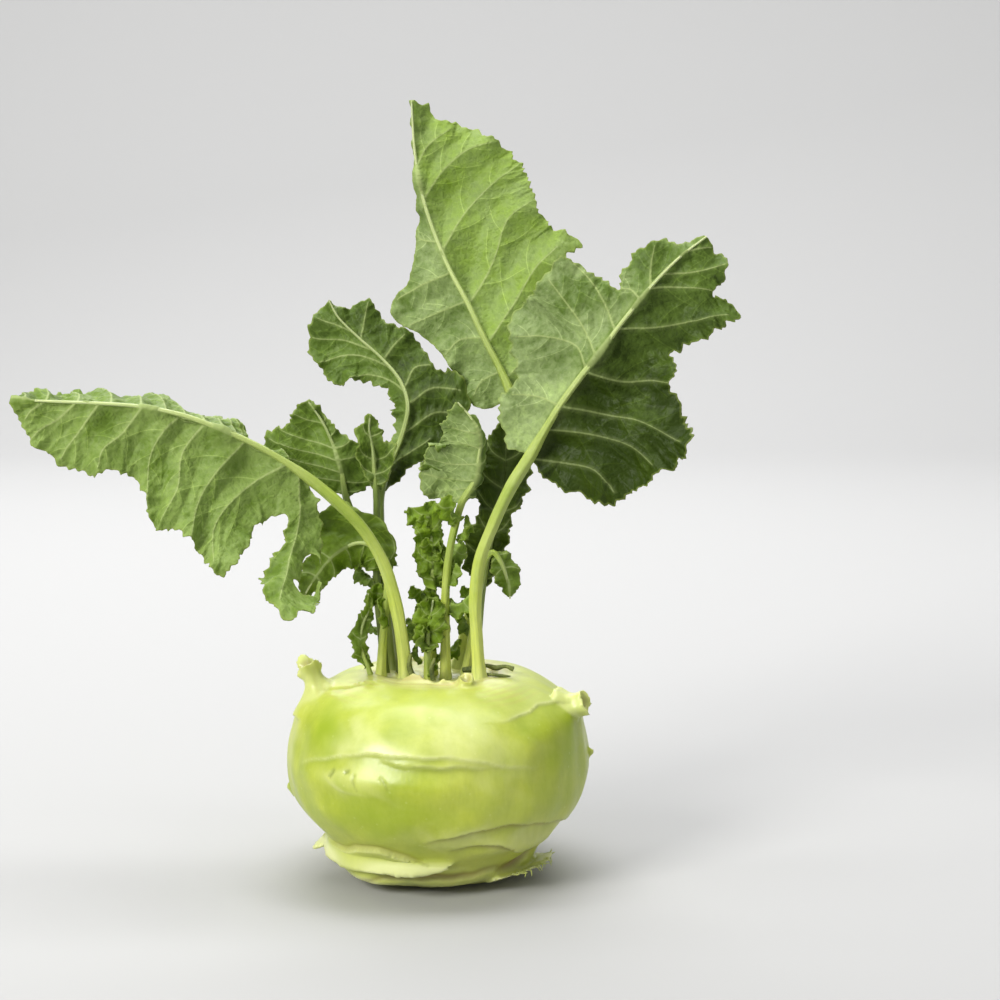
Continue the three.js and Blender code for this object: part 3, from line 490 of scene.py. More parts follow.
def teeth(run, rng, spacing, depth):
    """How far out the margin is at each place along it, for teeth of about that spacing and depth."""
    valleys = np.cumsum(rng.uniform(0.55, 1.45, int(run[-1] / spacing * 1.5) + 4)) * spacing - spacing
    peaks = valleys[:-1] + 0.66 * np.diff(valleys)
    at = np.stack([valleys[:-1], peaks], axis=1).ravel()
    low, high = rng.uniform(-0.1, 0.2, len(peaks)), rng.uniform(0.35, 1.2, len(peaks))
    return depth * (np.interp(run, at, np.stack([low, high], axis=1).ravel()) - 0.35)


def margin(leaf, side, rng, size):
    """One half's margin from the foot to the tip, as flat points."""
    sign = -1 if side == "left" else 1
    line = smooth_line([(along, sign * out) for along, out in margin_places(leaf, side)])
    line = resample(line, MESH_STEP * 0.85)
    run = run_of(line)
    heading = unit(np.gradient(line, axis=0))
    outward = np.stack([-heading[:, 1], heading[:, 0]], axis=1) * sign
    bite = sum(teeth(run, rng, spacing * size, depth * size) for spacing, depth in TEETH)
    ends = np.clip(np.minimum(run, run[-1] - run) / (5 * size), 0, 1)
    bite = bite * leaf.get("bite", (1, 1))[side == "right"]
    return line + outward * (bite * ends)[:, None]

# %% [markdown]
# ## Veins
#
# Side veins leave the rib and bow towards the tip. Where a half is in the table of veins it has them
# drawn one by one, and the others get one to each lobe of the margin. Each side vein forks a few
# times, and all of them stop where the blade does. `distance_to` is the measure behind all the relief
# and colour that follows.

# %% Vein lines
def inside(points, loop):
    """Which of the points are inside the closed loop."""
    result = np.zeros(len(points), bool)
    x0, y0 = loop.T
    x1, y1 = np.roll(loop, -1, axis=0).T
    for part in batches(len(points)):
        x, y = points[part, :1], points[part, 1:]
        spans = (y0 <= y) != (y1 <= y)
        crossing = x0 + (x1 - x0) * (y - y0) / np.where(y1 == y0, 1, y1 - y0)
        result[part] = (spans & (x < crossing)).sum(1) % 2 == 1
    return result


def distance_to(points, starts, ends, widths=None):
    """Distance to the nearest segment, that segment's number, and the least distance over width."""
    distance, relative = np.zeros(len(points)), np.zeros(len(points))
    nearest = np.zeros(len(points), int)
    lines = ends - starts
    squares = np.maximum((lines**2).sum(1), 1e-12)
    for part in batches(len(points)):
        away = points[part, None] - starts
        share = np.clip((away * lines).sum(2) / squares, 0, 1)
        every = np.linalg.norm(away - share[..., None] * lines, axis=2)
        nearest[part] = every.argmin(1)
        distance[part] = every.min(1)
        if widths is not None:
            relative[part] = (every / widths).min(1)
    return distance, nearest, relative


def veins_by_rule(leaf, side):
    """A side vein to every lobe that stands far enough from the one before."""
    paths, last = [], np.array([-99.0, 0])
    for row, place in list(zip(leaf["rows"], margin_places(leaf, side)))[1:-1]:
        root, end = np.array([row[0], 0.0]), np.array(place, float)
        if np.linalg.norm(end - last) < 5 or end[1] < 1.5:
            continue
        last = end
        way = end - root
        middle = root + way * 0.5 + np.array([way[1], -way[0]]) * -0.08
        paths.append([root, middle, root + way * 0.93])
    return paths


def forks(line, rng, size):
    """The smaller veins that leave a side vein by turns on its two sides."""
    run, made = run_of(line), []
    heading = unit(np.gradient(line, axis=0))
    for number, share in enumerate(np.arange(0.22, 0.9, 0.15) + rng.uniform(-0.04, 0.04, 5)):
        at = np.abs(run / run[-1] - share).argmin()
        turn = math.radians(rng.uniform(38, 58)) * (-1) ** number
        length = (run[-1] * 0.32 * (1.15 - share) + 2.5) * rng.uniform(0.8, 1.2)
        across = np.array([-heading[at][1], heading[at][0]])
        way = heading[at] * math.cos(turn) + across * math.sin(turn)
        end = line[at] + way * length + heading[at] * length * 0.25
        made.append((smooth_line([line[at], line[at] + way * length * 0.5, end], 4), 0.2 * size, 0.12))
    return made


def vein_lines(name, leaf, spine, loops, rng, size):
    """Every vein of the blade as its flat points and its width at both ends."""
    rib = np.stack([np.linspace(-2, spine.rib_length, 60), np.zeros(60)], axis=1)
    lines = [(rib, spine.radii[1] * 0.6, 0.3)]
    for side, sign in (("left", -1), ("right", 1)):
        for path in VEINS.get(name, {}).get(side) or veins_by_rule(leaf, side):
            line = smooth_line([(place[0], sign * place[1]) for place in path], 6)
            lines.append((line, 0.42 * size + 0.06, 0.2))
            if len(line) > 8 and run_of(line)[-1] > 7:
                lines += forks(line, rng, size)
    kept = [lines[0]]
    for line, root, end in lines[1:]:
        clear = inside(line, loops[0])
        clear[:2] = True
        for hole in loops[1:]:
            clear &= ~inside(line, hole)
        stop = len(line) if clear.all() else int(np.argmin(clear))
        if stop > 2:
            kept.append((line[:stop], root, end))
    return kept

# %% [markdown]
# ## Blades
#
# The flat leaf is filled with points: its margin, its veins and an even grid between them. A
# constrained Delaunay triangulation joins them up, so holes and teeth stay sharp and veins have a row
# of points of their own. Then the sheet is bent into place and given two faces and a rim. Between
# veins it bulges towards the upper side, near the margin it ruffles, and veins stand out below.

# %% Blade surfaces
WIDEST_FORK = 0.24  # millimetres: a wider vein is a side vein or the rib


def fill(loops, lines):
    """Flat points and triangles that fill the outline, less its holes."""
    outline = loops[0]
    low, high = outline.min(0) - MESH_STEP, outline.max(0) + MESH_STEP
    along, out = np.meshgrid(np.arange(low[0], high[0], MESH_STEP),
                             np.arange(low[1], high[1], MESH_STEP * 0.866))
    along = along + (np.arange(len(along)) % 2)[:, None] * MESH_STEP / 2
    grid = np.stack([along.ravel(), out.ravel()], axis=1)
    grid = grid[inside(grid, outline)]
    on_veins = np.vstack([resample(line, MESH_STEP) for line, _, _ in lines])
    cells = np.round(on_veins / (MESH_STEP * 0.6)).astype(int)
    on_veins = on_veins[np.unique(cells, axis=0, return_index=True)[1]]
    on_veins = on_veins[inside(on_veins, outline)]
    rims, segments = pairs_of(map(closed, loops)), pairs_of(line for line, _, _ in lines)
    grid = grid[distance_to(grid, segments[:, 0], segments[:, 1])[0] > MESH_STEP * 0.55]
    inner = np.vstack([grid, on_veins])
    inner = inner[distance_to(inner, rims[:, 0], rims[:, 1])[0] > MESH_STEP * 0.5]
    edges, count = [], 0
    for loop in loops:
        edges += [(count + i, count + (i + 1) % len(loop)) for i in range(len(loop))]
        count += len(loop)
    points = np.vstack(loops + [inner])
    flat, _, triangles, *_ = delaunay_2d_cdt([Vector(point) for point in points], edges, [], 0, 1e-5)
    flat, triangles = np.array([tuple(point) for point in flat]), np.array(triangles)
    centres = flat[triangles].mean(1)
    keep = inside(centres, outline)
    for hole in loops[1:]:
        keep &= ~inside(centres, hole)
    triangles = triangles[keep]
    used, triangles = np.unique(triangles, return_inverse=True)
    return flat[used], triangles.reshape(-1, 3)


def network(flat, rng, spacing):
    """Distance to the walls of a net of uneven cells, which is how the smallest veins run."""
    low, high = flat.min(0) - spacing, flat.max(0) + spacing
    along, out = np.meshgrid(np.arange(low[0], high[0], spacing), np.arange(low[1], high[1], spacing))
    seeds = np.stack([along.ravel(), out.ravel()], axis=1)
    seeds = seeds + rng.uniform(-0.42, 0.42, seeds.shape) * spacing
    walls = np.zeros(len(flat))
    for part in batches(len(flat)):
        squares = ((flat[part, None] - seeds) ** 2).sum(2)
        two = np.argpartition(squares, 1, axis=1)[:, :2]
        pair = np.take_along_axis(squares, two, axis=1)
        apart = np.linalg.norm(seeds[two[:, 0]] - seeds[two[:, 1]], axis=1)
        walls[part] = np.abs(pair[:, 0] - pair[:, 1]) / 2 / apart
    return walls


def rounded(distance, width):
    """How far a bulge has risen at a distance from its edge, from 0 to 1."""
    return 1 - np.exp(-(distance / width) ** 2)


def new_mesh(name, places, edges=(), faces=()):
    """A mesh from places in millimetres."""
    mesh = bpy.data.meshes.new(name)
    mesh.from_pydata((np.asarray(places) * MM).tolist(), list(edges), np.asarray(faces).tolist())
    return mesh


def new_object(name, data):
    """An object in the scene from a mesh, a light or a camera."""
    made = bpy.data.objects.new(name, data)
    bpy.context.scene.collection.objects.link(made)
    return made


def claim(piece, node):
    """Hangs the piece on the root body and hides the CAD node that it takes the place of, if there is one.
    """
    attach(piece, "root")
    if node:
        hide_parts(node)


def store(mesh, **values):
    """Keeps a number for each point of the mesh, for the materials to read."""
    for name, numbers in values.items():
        kept = mesh.attributes.new(name, "FLOAT", "POINT")
        kept.data.foreach_set("value", np.asarray(numbers, np.float32))


def blade_lift(leaf, flat, size, rng, far):
    """How far the blade bulges towards its upper side at each flat point.

    `far` has the distances to the large veins, the small veins, the net and the rim, and `along` is
    how far round the rim each point is.
    """
    crinkle, pleat = leaf.get("crinkle", 1.0) * size, leaf.get("pleat", 1.7) * size
    lift = pleat * rounded(far["large"], 5)
    lift += crinkle * 0.55 * rounded(np.minimum(far["small"], far["large"]), 1.6)
    lift += crinkle * 0.2 * rounded(far["net"], 0.7)
    for _ in range(5):
        way = rng.normal(size=2)
        way *= 2 * math.pi / rng.uniform(16, 34) / size / np.linalg.norm(way)
        lift += 0.6 * crinkle * np.sin(flat @ way + rng.uniform(0, 6.28))
    ruffle = np.sin(far["along"] / (1.7 * size) + 1.3 * np.sin(far["along"] / 5.3))
    ruffle += 0.6 * np.sin(far["along"] / 3.9 + 2)
    return lift + crinkle * 1.1 * ruffle * np.exp(-far["rim"] / (4.0 * size))


def two_sided(triangles, count):
    """The upper faces, the lower ones turned round, and the rim that joins them."""
    sides = np.vstack([triangles[:, [0, 1]], triangles[:, [1, 2]], triangles[:, [2, 0]]])
    keys = {(a, b) for a, b in sides.tolist()}
    a, b = np.array(sorted((a, b) for a, b in keys if (b, a) not in keys)).T
    rim = [np.stack([b, a, a + count], axis=1), np.stack([b, a + count, b + count], axis=1)]
    return np.vstack([triangles, triangles[:, ::-1] + count] + rim)


def blade_surface(name, leaf, spine):
    """Places, faces, flat points and material numbers of one blade."""
    rng = np.random.default_rng(sum(map(ord, name)))
    size = min(1.0, 0.45 + spine.rib_length / 150)
    outline = np.vstack([margin(leaf, "left", rng, size), margin(leaf, "right", rng, size)[::-1]])
    holes = [resample(smooth_line(hole + hole[:1], 4), MESH_STEP)[:-1] for hole in leaf.get("holes", [])]
    loops = [outline] + holes
    lines = vein_lines(name, leaf, spine, loops, rng, size)
    flat, triangles = fill(loops, lines)

    segments, rims = pairs_of(line for line, _, _ in lines), pairs_of(map(closed, loops))
    widths = np.concatenate([np.linspace(root, end, len(line) - 1) for line, root, end in lines])
    large = np.concatenate([np.full(len(line) - 1, root > WIDEST_FORK) for line, root, _ in lines])
    far = {}
    far["large"], _, vein = distance_to(flat, segments[large, 0], segments[large, 1], widths[large])
    far["small"], fork = far["large"], np.full(len(flat), 5.0)
    if not large.all():
        far["small"], _, fork = distance_to(flat, segments[~large, 0], segments[~large, 1], widths[~large])
    far["rim"], at_rim, _ = distance_to(flat, rims[:, 0], rims[:, 1])
    far["along"] = at_rim * MESH_STEP
    far["net"] = network(flat, rng, 4.2 * size)

    up = upward(leaf, spine, flat)
    middle = lay_out(leaf, spine, flat) + up * blade_lift(leaf, flat, size, rng, far)[:, None]
    a, b, c = [middle[triangles[:, corner]] for corner in range(3)]
    if (unit(np.cross(b - a, c - a)) * up[triangles[:, 0]]).sum(1).mean() < 0:
        triangles = triangles[:, ::-1]
    thick = 0.24 + 0.16 * np.clip(far["rim"] / 3, 0, 1)
    ridge = 0.3 * size * np.exp(-np.minimum(vein, 4) ** 2)
    ridge += 0.1 * size * np.exp(-np.minimum(fork, 4) ** 2)
    top = middle + up * (thick / 2)[:, None]
    below = middle - up * (thick / 2 + ridge)[:, None]

    mix = np.clip(flat[:, 1] / 3 + 0.5, 0, 1)  # 0 on the left half and 1 on the right one
    # A half's tone also holds painted shade where that half lies in shadow.
    tones = [np.interp(flat[:, 0], [0, spine.rib_length], ends) for ends in leaf["tone"]]
    numbers = dict(
        vein=np.minimum(vein, 5), fork=np.minimum(fork, 5),
        net=np.minimum(far["net"], 3), rim=np.minimum(far["rim"], 12),
        tone=tones[0] * (1 - mix) + tones[1] * mix,
        fresh=leaf["fresh"][0] * (1 - mix) + leaf["fresh"][1] * mix)
    numbers = {label: np.tile(values, 2) for label, values in numbers.items()}
    numbers["upper"] = np.repeat([1.0, 0.0], len(flat))
    return np.vstack([top, below]), two_sided(triangles, len(flat)), np.vstack([flat, flat]), numbers


FLAT_UNIT = 100  # millimetres of the flat leaf to one unit of its UV map


def leaf_mesh(mesh, flat, numbers):
    """Adds the flat coordinates as a UV map, and the numbers that the leaf materials read."""
    store(mesh, **numbers)
    spread = mesh.uv_layers.new(name="flat")
    corners = np.zeros(len(mesh.loops), np.int32)
    mesh.loops.foreach_get("vertex_index", corners)
    spread.data.foreach_set("uv", (flat / FLAT_UNIT)[corners].astype(np.float32).ravel())


def make_blade(name, leaf, material, slot):
    """The blade of one leaf as a piece."""
    points, faces, flat, numbers = blade_surface(name, leaf, spines[name])
    piece = new_object(f"{name}_blade", new_mesh(f"{name}_blade", points, faces=faces))
    piece.data.shade_smooth()
    piece.data.materials.append(material)
    leaf_mesh(piece.data, flat, numbers)
    claim(piece, f"{name}_blade")
    print(f"{piece.name}: {len(faces)} triangles")
    return piece

# %% [markdown]
# ## Shared shader groups
#
# Two effects are used again and again, so each is a node group with named inputs: uneven mottling for
# anything that grew, and the colour of a leaf from its veins, its net, its rim and its tone.

# %% Shader groups
def srgb(*levels):
    """A colour from 0-255 levels, as linear RGBA."""
    shares = [level / 255 for level in levels]
    return tuple(v / 12.92 if v <= 0.04045 else ((v + 0.055) / 1.055) ** 2.4 for v in shares) + (1.0,)


def add(tree, kind, wires=None, **settings):
    """Adds a node with its settings, and gives its inputs values or other nodes' outputs."""
    made = tree.nodes.new(kind)
    for key, value in settings.items():
        setattr(made, key, value)
    for socket, value in (wires or {}).items():
        if isinstance(value, bpy.types.NodeSocket):
            tree.links.new(value, made.inputs[socket])
        else:
            made.inputs[socket].default_value = value
    return made


def maths(tree, operation, a, b=0.0):
    """What a Math node makes of two numbers or sockets."""
    return add(tree, "ShaderNodeMath", {0: a, 1: b}, operation=operation).outputs[0]


def times(tree, a, b):
    """The product of two numbers or sockets."""
    return maths(tree, "MULTIPLY", a, b)


def plus(tree, a, b):
    """The sum of two numbers or sockets."""
    return maths(tree, "ADD", a, b)


def step(tree, value, low, high, to_low=0.0, to_high=1.0):
    """A smooth step: to_low below low, to_high above high."""
    return add(tree, "ShaderNodeMapRange", {"Value": value, "From Min": low, "From Max": high,
                                            "To Min": to_low, "To Max": to_high},
               interpolation_type="SMOOTHSTEP").outputs["Result"]


def new_group(kind, name, inputs, outputs):
    """A node group with named sockets: its tree, its input node's outputs and its output node."""
    tree = bpy.data.node_groups.new(name, kind)
    for label, socket, value in inputs:
        made = tree.interface.new_socket(label, in_out="INPUT", socket_type=socket)
        if value is not None:
            made.default_value = value
    for label, socket in outputs:
        tree.interface.new_socket(label, in_out="OUTPUT", socket_type=socket)
    return tree, tree.nodes.new("NodeGroupInput").outputs, tree.nodes.new("NodeGroupOutput")


def blend_sockets(node):
    """The colour sockets of a Mix node, which share their names with its float sockets."""
    return [socket for socket in node.inputs if socket.type == "RGBA"]


def blend(tree, factor, a, b, mode="MIX"):
    """Colour a turning into colour b."""
    made = add(tree, "ShaderNodeMix", {0: factor}, data_type="RGBA", blend_type=mode)
    for socket, value in zip(blend_sockets(made), (a, b)):
        if isinstance(value, bpy.types.NodeSocket):
            tree.links.new(value, socket)
        else:
            socket.default_value = value
    return next(socket for socket in made.outputs if socket.type == "RGBA")


def colour_ramp(tree, factor, stops):
    """The colour at the factor, from a list of places from 0 to 1 and their colours."""
    ramp = add(tree, "ShaderNodeValToRGB", {"Fac": factor})
    made = ramp.color_ramp.elements
    made[0].position, made[0].color = stops[0]
    made[1].position, made[1].color = stops[-1]
    for position, colour in stops[1:-1]:
        made.new(position).color = colour
    return ramp.outputs["Color"]


def mottle_group():
    """Uneven patches at two sizes, from 0 to 1."""
    tree, given, result = new_group(
        "ShaderNodeTree", "Mottle",
        [("Vector", "NodeSocketVector", None), ("Scale", "NodeSocketFloat", 50.0),
         ("Contrast", "NodeSocketFloat", 1.0)],
        [("Fac", "NodeSocketFloat")])
    where = given["Vector"]
    coarse = add(tree, "ShaderNodeTexNoise", {"Vector": where, "Scale": given["Scale"], "Detail": 3.0})
    finer = times(tree, given["Scale"], 5.3)
    fine = add(tree, "ShaderNodeTexNoise", {"Vector": where, "Scale": finer, "Detail": 4.0})
    both = plus(tree, times(tree, coarse.outputs["Fac"], 0.65), times(tree, fine.outputs["Fac"], 0.35))
    steeper = times(tree, given["Contrast"], 3.0)
    spread = times(tree, maths(tree, "SUBTRACT", both, 0.5), steeper)
    held = add(tree, "ShaderNodeClamp", {"Value": plus(tree, spread, 0.5)})
    tree.links.new(held.outputs[0], result.inputs["Fac"])
    return tree


MOTTLE = mottle_group()


def mottle(tree, where, scale, contrast):
    """Uneven patches of about one over the scale, from 0 to 1."""
    wires = {"Vector": where, "Scale": scale, "Contrast": contrast}
    return add(tree, "ShaderNodeGroup", wires, node_tree=MOTTLE).outputs["Fac"]


def leaf_tone(tree, given, patches, specks):
    """How pale the leaf is, with patches and specks, and darker on its upper side."""
    tone = plus(tree, given["Tone"], times(tree, maths(tree, "SUBTRACT", patches, 0.5), 0.42))
    tone = plus(tree, tone, times(tree, maths(tree, "SUBTRACT", specks, 0.5), 0.16))
    return maths(tree, "SUBTRACT", tone, times(tree, given["Upper"], 0.25))


def leaf_group():
    """The colour of a leaf and the height of its fine net."""
    floats = {"Vein": 5.0, "Fork": 5.0, "Net": 3.0, "Rim": 12.0, "Tone": 0.5, "Fresh": 0.2,
              "Upper": 0.0, "Vein paleness": 0.8}
    tree, given, result = new_group(
        "ShaderNodeTree", "Leaf colour",
        [("Flat", "NodeSocketVector", None)]
        + [(label, "NodeSocketFloat", value) for label, value in floats.items()],
        [("Color", "NodeSocketColor"), ("Height", "NodeSocketFloat")])
    patches = mottle(tree, given["Flat"], 7.0, 1.0)
    specks = mottle(tree, given["Flat"], 60.0, 0.8)
    tone = leaf_tone(tree, given, patches, specks)
    plain = colour_ramp(tree, tone, [(0.0, LEAF_DARK), (0.5, LEAF_MIDDLE), (0.78, LEAF_PALE),
                                     (1.0, LEAF_LIGHTEST)])
    fresh = times(tree, given["Fresh"], plus(tree, 0.5, patches))
    body = blend(tree, fresh, plain, LEAF_FRESH)

    # The net: cells too fine for the mesh, then the net and the forks that the mesh knows.
    cells = add(tree, "ShaderNodeTexVoronoi", {"Vector": given["Flat"], "Scale": 62.0, "Randomness": 1.0},
                feature="DISTANCE_TO_EDGE").outputs["Distance"]
    fine = step(tree, cells, 0.02, 0.16, 1.0, 0.0)
    net = step(tree, given["Net"], 0.0, 0.4, 1.0, 0.0)
    pale = blend(tree, 1.0, body, NET_LIGHTER, "MULTIPLY")
    body = blend(tree, times(tree, fine, 0.22), body, pale)
    body = blend(tree, times(tree, net, 0.3), body, pale)
    fork = step(tree, given["Fork"], 0.3, 1.3, 0.7, 0.0)
    body = blend(tree, fork, body, blend(tree, 1.0, body, FORK_LIGHTER, "MULTIPLY"))

    # The veins with a faint halo, less pale where the leaf is dark, and the pale rim.
    vein = step(tree, given["Vein"], 0.3, 1.05, 1.0, 0.0)
    halo = step(tree, given["Vein"], 0.8, 4.5, 0.12, 0.0)
    body = blend(tree, halo, body, VEIN_PALE)
    shown = times(tree, given["Vein paleness"], step(tree, tone, -0.2, 0.7, 0.45, 1.0))
    body = blend(tree, times(tree, vein, shown), body, VEIN_PALE)
    edge = step(tree, given["Rim"], 0.1, 0.7, 0.45, 0.0)
    tree.links.new(blend(tree, edge, body, LEAF_EDGE), result.inputs["Color"])
    height = maths(tree, "SUBTRACT", step(tree, cells, 0.0, 0.35), times(tree, specks, -0.4))
    tree.links.new(height, result.inputs["Height"])
    return tree


LEAF_DARK, LEAF_MIDDLE, LEAF_PALE = srgb(36, 54, 8), srgb(98, 124, 52), srgb(154, 173, 116)
LEAF_LIGHTEST = srgb(188, 210, 138)
LEAF_FRESH, LEAF_EDGE, VEIN_PALE = srgb(128, 158, 30), srgb(160, 176, 90), srgb(178, 194, 124)
NET_LIGHTER, FORK_LIGHTER = (1.3, 1.25, 1.35, 1.0), (1.6, 1.5, 1.7, 1.0)
LEAF_COLOUR = leaf_group()
print("shader groups:", [group.name for group in bpy.data.node_groups])

# %% [markdown]
# ## Materials
#
# A leaf lets light through, so its Principled shader is mixed with a Translucent one. The bulb's skin
# is smooth and waxy over pale flesh, so a little light scatters under it. Stalks are like the skin
# with fine streaks along them, and what has dried is dark and dull.
#
# Materials read the numbers that the meshes keep. On the bulb, `pale` follows the folds and is partly
# the skin's own colour and partly painted light: a painted highlight on the fold crests, and paint that
# lifts the low skirt out of its shade. `dark` is painted shade in the folds' grooves and in the
# stumps' hollow mouths. `cork` is where the skin has healed over, `wax` is where its bloom is
# thick and, on the upper left of the front, a painted highlight, and `deep` is where the green is deep.
# On a stalk, `rise` is 0 at the crown, 1 at the foot of the blade and 2 at the tip, `ring` is the place
# around it, and `shade` is how much painted shade darkens it.

# %% Materials
def attribute(tree, name, output="Fac"):
    """A number that the mesh keeps for each of its points."""
    return add(tree, "ShaderNodeAttribute", attribute_name=name).outputs[output]


def new_material(name):
    """A material with an empty node tree, and that tree."""
    material = bpy.data.materials.new(name)
    material.use_nodes = True
    material.node_tree.nodes.clear()
    return material, material.node_tree


def here(tree):
    """The place on the object, in metres."""
    return add(tree, "ShaderNodeTexCoord").outputs["Object"]


def bumps(tree, height, strength, distance):
    """The normal over small bumps, which are so high in metres."""
    wires = {"Height": height, "Strength": strength, "Distance": distance}
    return add(tree, "ShaderNodeBump", wires).outputs[0]


def finish_surface(tree, surface):
    """Makes the shader the surface of the material."""
    add(tree, "ShaderNodeOutputMaterial", {"Surface": surface.outputs[0]})


def leaf_material(name, paleness, roughness, through):
    """A leaf: its own colour on both sides, and a share of the light that comes through."""
    material, tree = new_material(name)
    wires = {"Flat": add(tree, "ShaderNodeUVMap", uv_map="flat").outputs["UV"], "Vein paleness": paleness}
    for label in ("Vein", "Fork", "Net", "Rim", "Tone", "Fresh", "Upper"):
        wires[label] = attribute(tree, label.lower())
    leaf = add(tree, "ShaderNodeGroup", wires, node_tree=LEAF_COLOUR)
    normal = bumps(tree, leaf.outputs["Height"], 0.5, 0.0002)
    skin = add(tree, "ShaderNodeBsdfPrincipled", {
        "Base Color": leaf.outputs["Color"], "Roughness": roughness, "Specular IOR Level": 0.24,
        "Normal": normal})
    lit = blend(tree, 1.0, leaf.outputs["Color"], THROUGH_LEAF, "MULTIPLY")
    glow = add(tree, "ShaderNodeBsdfTranslucent", {"Color": lit, "Normal": normal})
    both = {0: through, 1: skin.outputs[0], 2: glow.outputs[0]}
    finish_surface(tree, add(tree, "ShaderNodeMixShader", both))
    return material


def stalk_material():
    """A stalk: pale at the crown, green higher up, pale again along the rib, with fine streaks and painted
    shade.
    """
    material, tree = new_material("Leaf stalk")
    rise = attribute(tree, "rise")
    ring = add(tree, "ShaderNodeSeparateXYZ", {0: attribute(tree, "ring", "Vector")}).outputs
    place = add(tree, "ShaderNodeCombineXYZ", {0: ring[0], 1: ring[1], 2: times(tree, rise, 2.0)})
    streaks = mottle(tree, place.outputs[0], 2.6, 1.2)
    patches = mottle(tree, here(tree), 90.0, 1.0)
    # The greener middle of the ramp is partly the stalk's own colour and partly painted shade.
    plain = colour_ramp(tree, times(tree, rise, 0.5), [
        (0.0, srgb(222, 228, 158)), (0.06, srgb(222, 230, 112)), (0.2, srgb(192, 206, 78)),
        (0.38, srgb(158, 178, 64)), (0.52, srgb(160, 180, 70)), (0.75, srgb(184, 200, 128)),
        (1.0, srgb(204, 214, 160))])
    body = blend(tree, times(tree, streaks, 0.45), plain, srgb(112, 138, 52))
    body = blend(tree, times(tree, patches, 0.25), body, srgb(212, 220, 150))
    # Painted shade on the stalks that stand in the shadow of others.
    body = blend(tree, attribute(tree, "shade"), body, srgb(70, 92, 26))
    finish_surface(tree, add(tree, "ShaderNodeBsdfPrincipled", {
        "Base Color": body, "Roughness": 0.42, "Subsurface Weight": 0.12,
        "Subsurface Radius": (1.0, 1.0, 0.3), "Subsurface Scale": 0.002,
        "Normal": bumps(tree, streaks, 0.35, 0.0004)}))
    return material


def stretched(tree, where, height):
    """The place with its height shrunk, which draws patches out upwards."""
    wires = {0: where, 1: (1.0, 1.0, height)}
    return add(tree, "ShaderNodeVectorMath", wires, operation="MULTIPLY").outputs[0]


def skin_colour(tree, where, cloud, dots):
    """The skin's colour: mottled green, streaks, wax and painted sheen, a paler foot and crown, and the
    folds.
    """
    height = add(tree, "ShaderNodeSeparateXYZ", {0: where}).outputs[2]
    body = blend(tree, mottle(tree, where, 24.0, 1.3), srgb(140, 160, 2), srgb(184, 194, 44))
    streaks = mottle(tree, stretched(tree, where, 0.22), 210.0, 1.2)
    drips = mottle(tree, stretched(tree, where, 0.5), 60.0, 1.4)
    uneven = plus(tree, 0.45, times(tree, drips, 0.6))
    for strength, colour in (
            (times(tree, cloud, 0.32), srgb(208, 216, 112)),
            (times(tree, streaks, 0.34), srgb(138, 154, 20)),
            (times(tree, attribute(tree, "deep"), uneven), srgb(142, 164, 4)),
            # Thick wax bloom, and on the upper left of the front a painted highlight as well.
            (times(tree, attribute(tree, "wax"), uneven), srgb(210, 215, 146)),
            (step(tree, height, 0.004, 0.03, 0.45, 0.0), srgb(206, 212, 124)),
            (step(tree, height, 0.052, 0.064, 0.0, 0.35), srgb(204, 212, 112)),
            (dots, srgb(222, 228, 160)),
            # Pale: the skin's own colour, with a painted highlight on the fold crests. Then painted shade
            # in grooves and stump mouths.
            (attribute(tree, "pale"), srgb(220, 225, 156)),
            (attribute(tree, "dark"), srgb(96, 110, 22)),
            (attribute(tree, "cork"), srgb(176, 148, 88))):
        body = blend(tree, strength, body, colour)
    return body


def skin_material():
    """The bulb's skin, with tiny pale dots and a thin coat of wax."""
    material, tree = new_material("Bulb skin")
    where = here(tree)
    cloud = mottle(tree, where, 110.0, 0.8)
    specks = add(tree, "ShaderNodeTexVoronoi", {"Vector": where, "Scale": 260.0, "Randomness": 1.0})
    dots = step(tree, specks.outputs["Distance"], 0.05, 0.14, 0.12, 0.0)
    finish_surface(tree, add(tree, "ShaderNodeBsdfPrincipled", {
        "Base Color": skin_colour(tree, where, cloud, dots),
        "Roughness": plus(tree, 0.34, times(tree, cloud, 0.16)),
        "Subsurface Weight": 0.2, "Subsurface Radius": (1.0, 1.0, 0.35), "Subsurface Scale": 0.004,
        "Coat Weight": 0.2, "Coat Roughness": 0.22,
        "Normal": bumps(tree, plus(tree, cloud, times(tree, dots, 0.5)), 0.2, 0.0003)}))
    return material


def dry_material():
    """What has dried: dark, dull and uneven."""
    material, tree = new_material("Dried fibre")
    patches = mottle(tree, here(tree), 300.0, 1.0)
    finish_surface(tree, add(tree, "ShaderNodeBsdfPrincipled", {
        "Base Color": blend(tree, patches, srgb(52, 68, 22), srgb(134, 142, 72)),
        "Roughness": 0.75, "Normal": bumps(tree, patches, 0.6, 0.0004)}))
    return material


THROUGH_LEAF = (1.15, 1.2, 0.55, 1.0)  # how a leaf tints the light that comes through it
BLADE = leaf_material("Leaf blade", 0.75, 0.5, 0.28)
YOUNG = leaf_material("Young leaf", 0.55, 0.45, 0.32)
STALK, SKIN, DRY = stalk_material(), skin_material(), dry_material()
print("materials:", [material.name for material in bpy.data.materials])

# %% [markdown]
# ## The thirteen blades

# %% Make the blades
blades = []
for name, leaf in LEAVES.items():
    looks = (YOUNG, "young_leaf") if name.startswith("young") else (BLADE, "leaf_blade")
    blades.append(make_blade(name, leaf, *looks))
print(len(blades), "blades,", sum(len(piece.data.polygons) for piece in blades), "triangles")

# %% [markdown]
# ## Stalks
#
# Each stalk is a path with a thickness at every point, and one Geometry Nodes tree sweeps the same
# ribbed section along all of them. The section keeps where each point is around the stalk, as `ring`,
# so that the material can draw streaks along it.

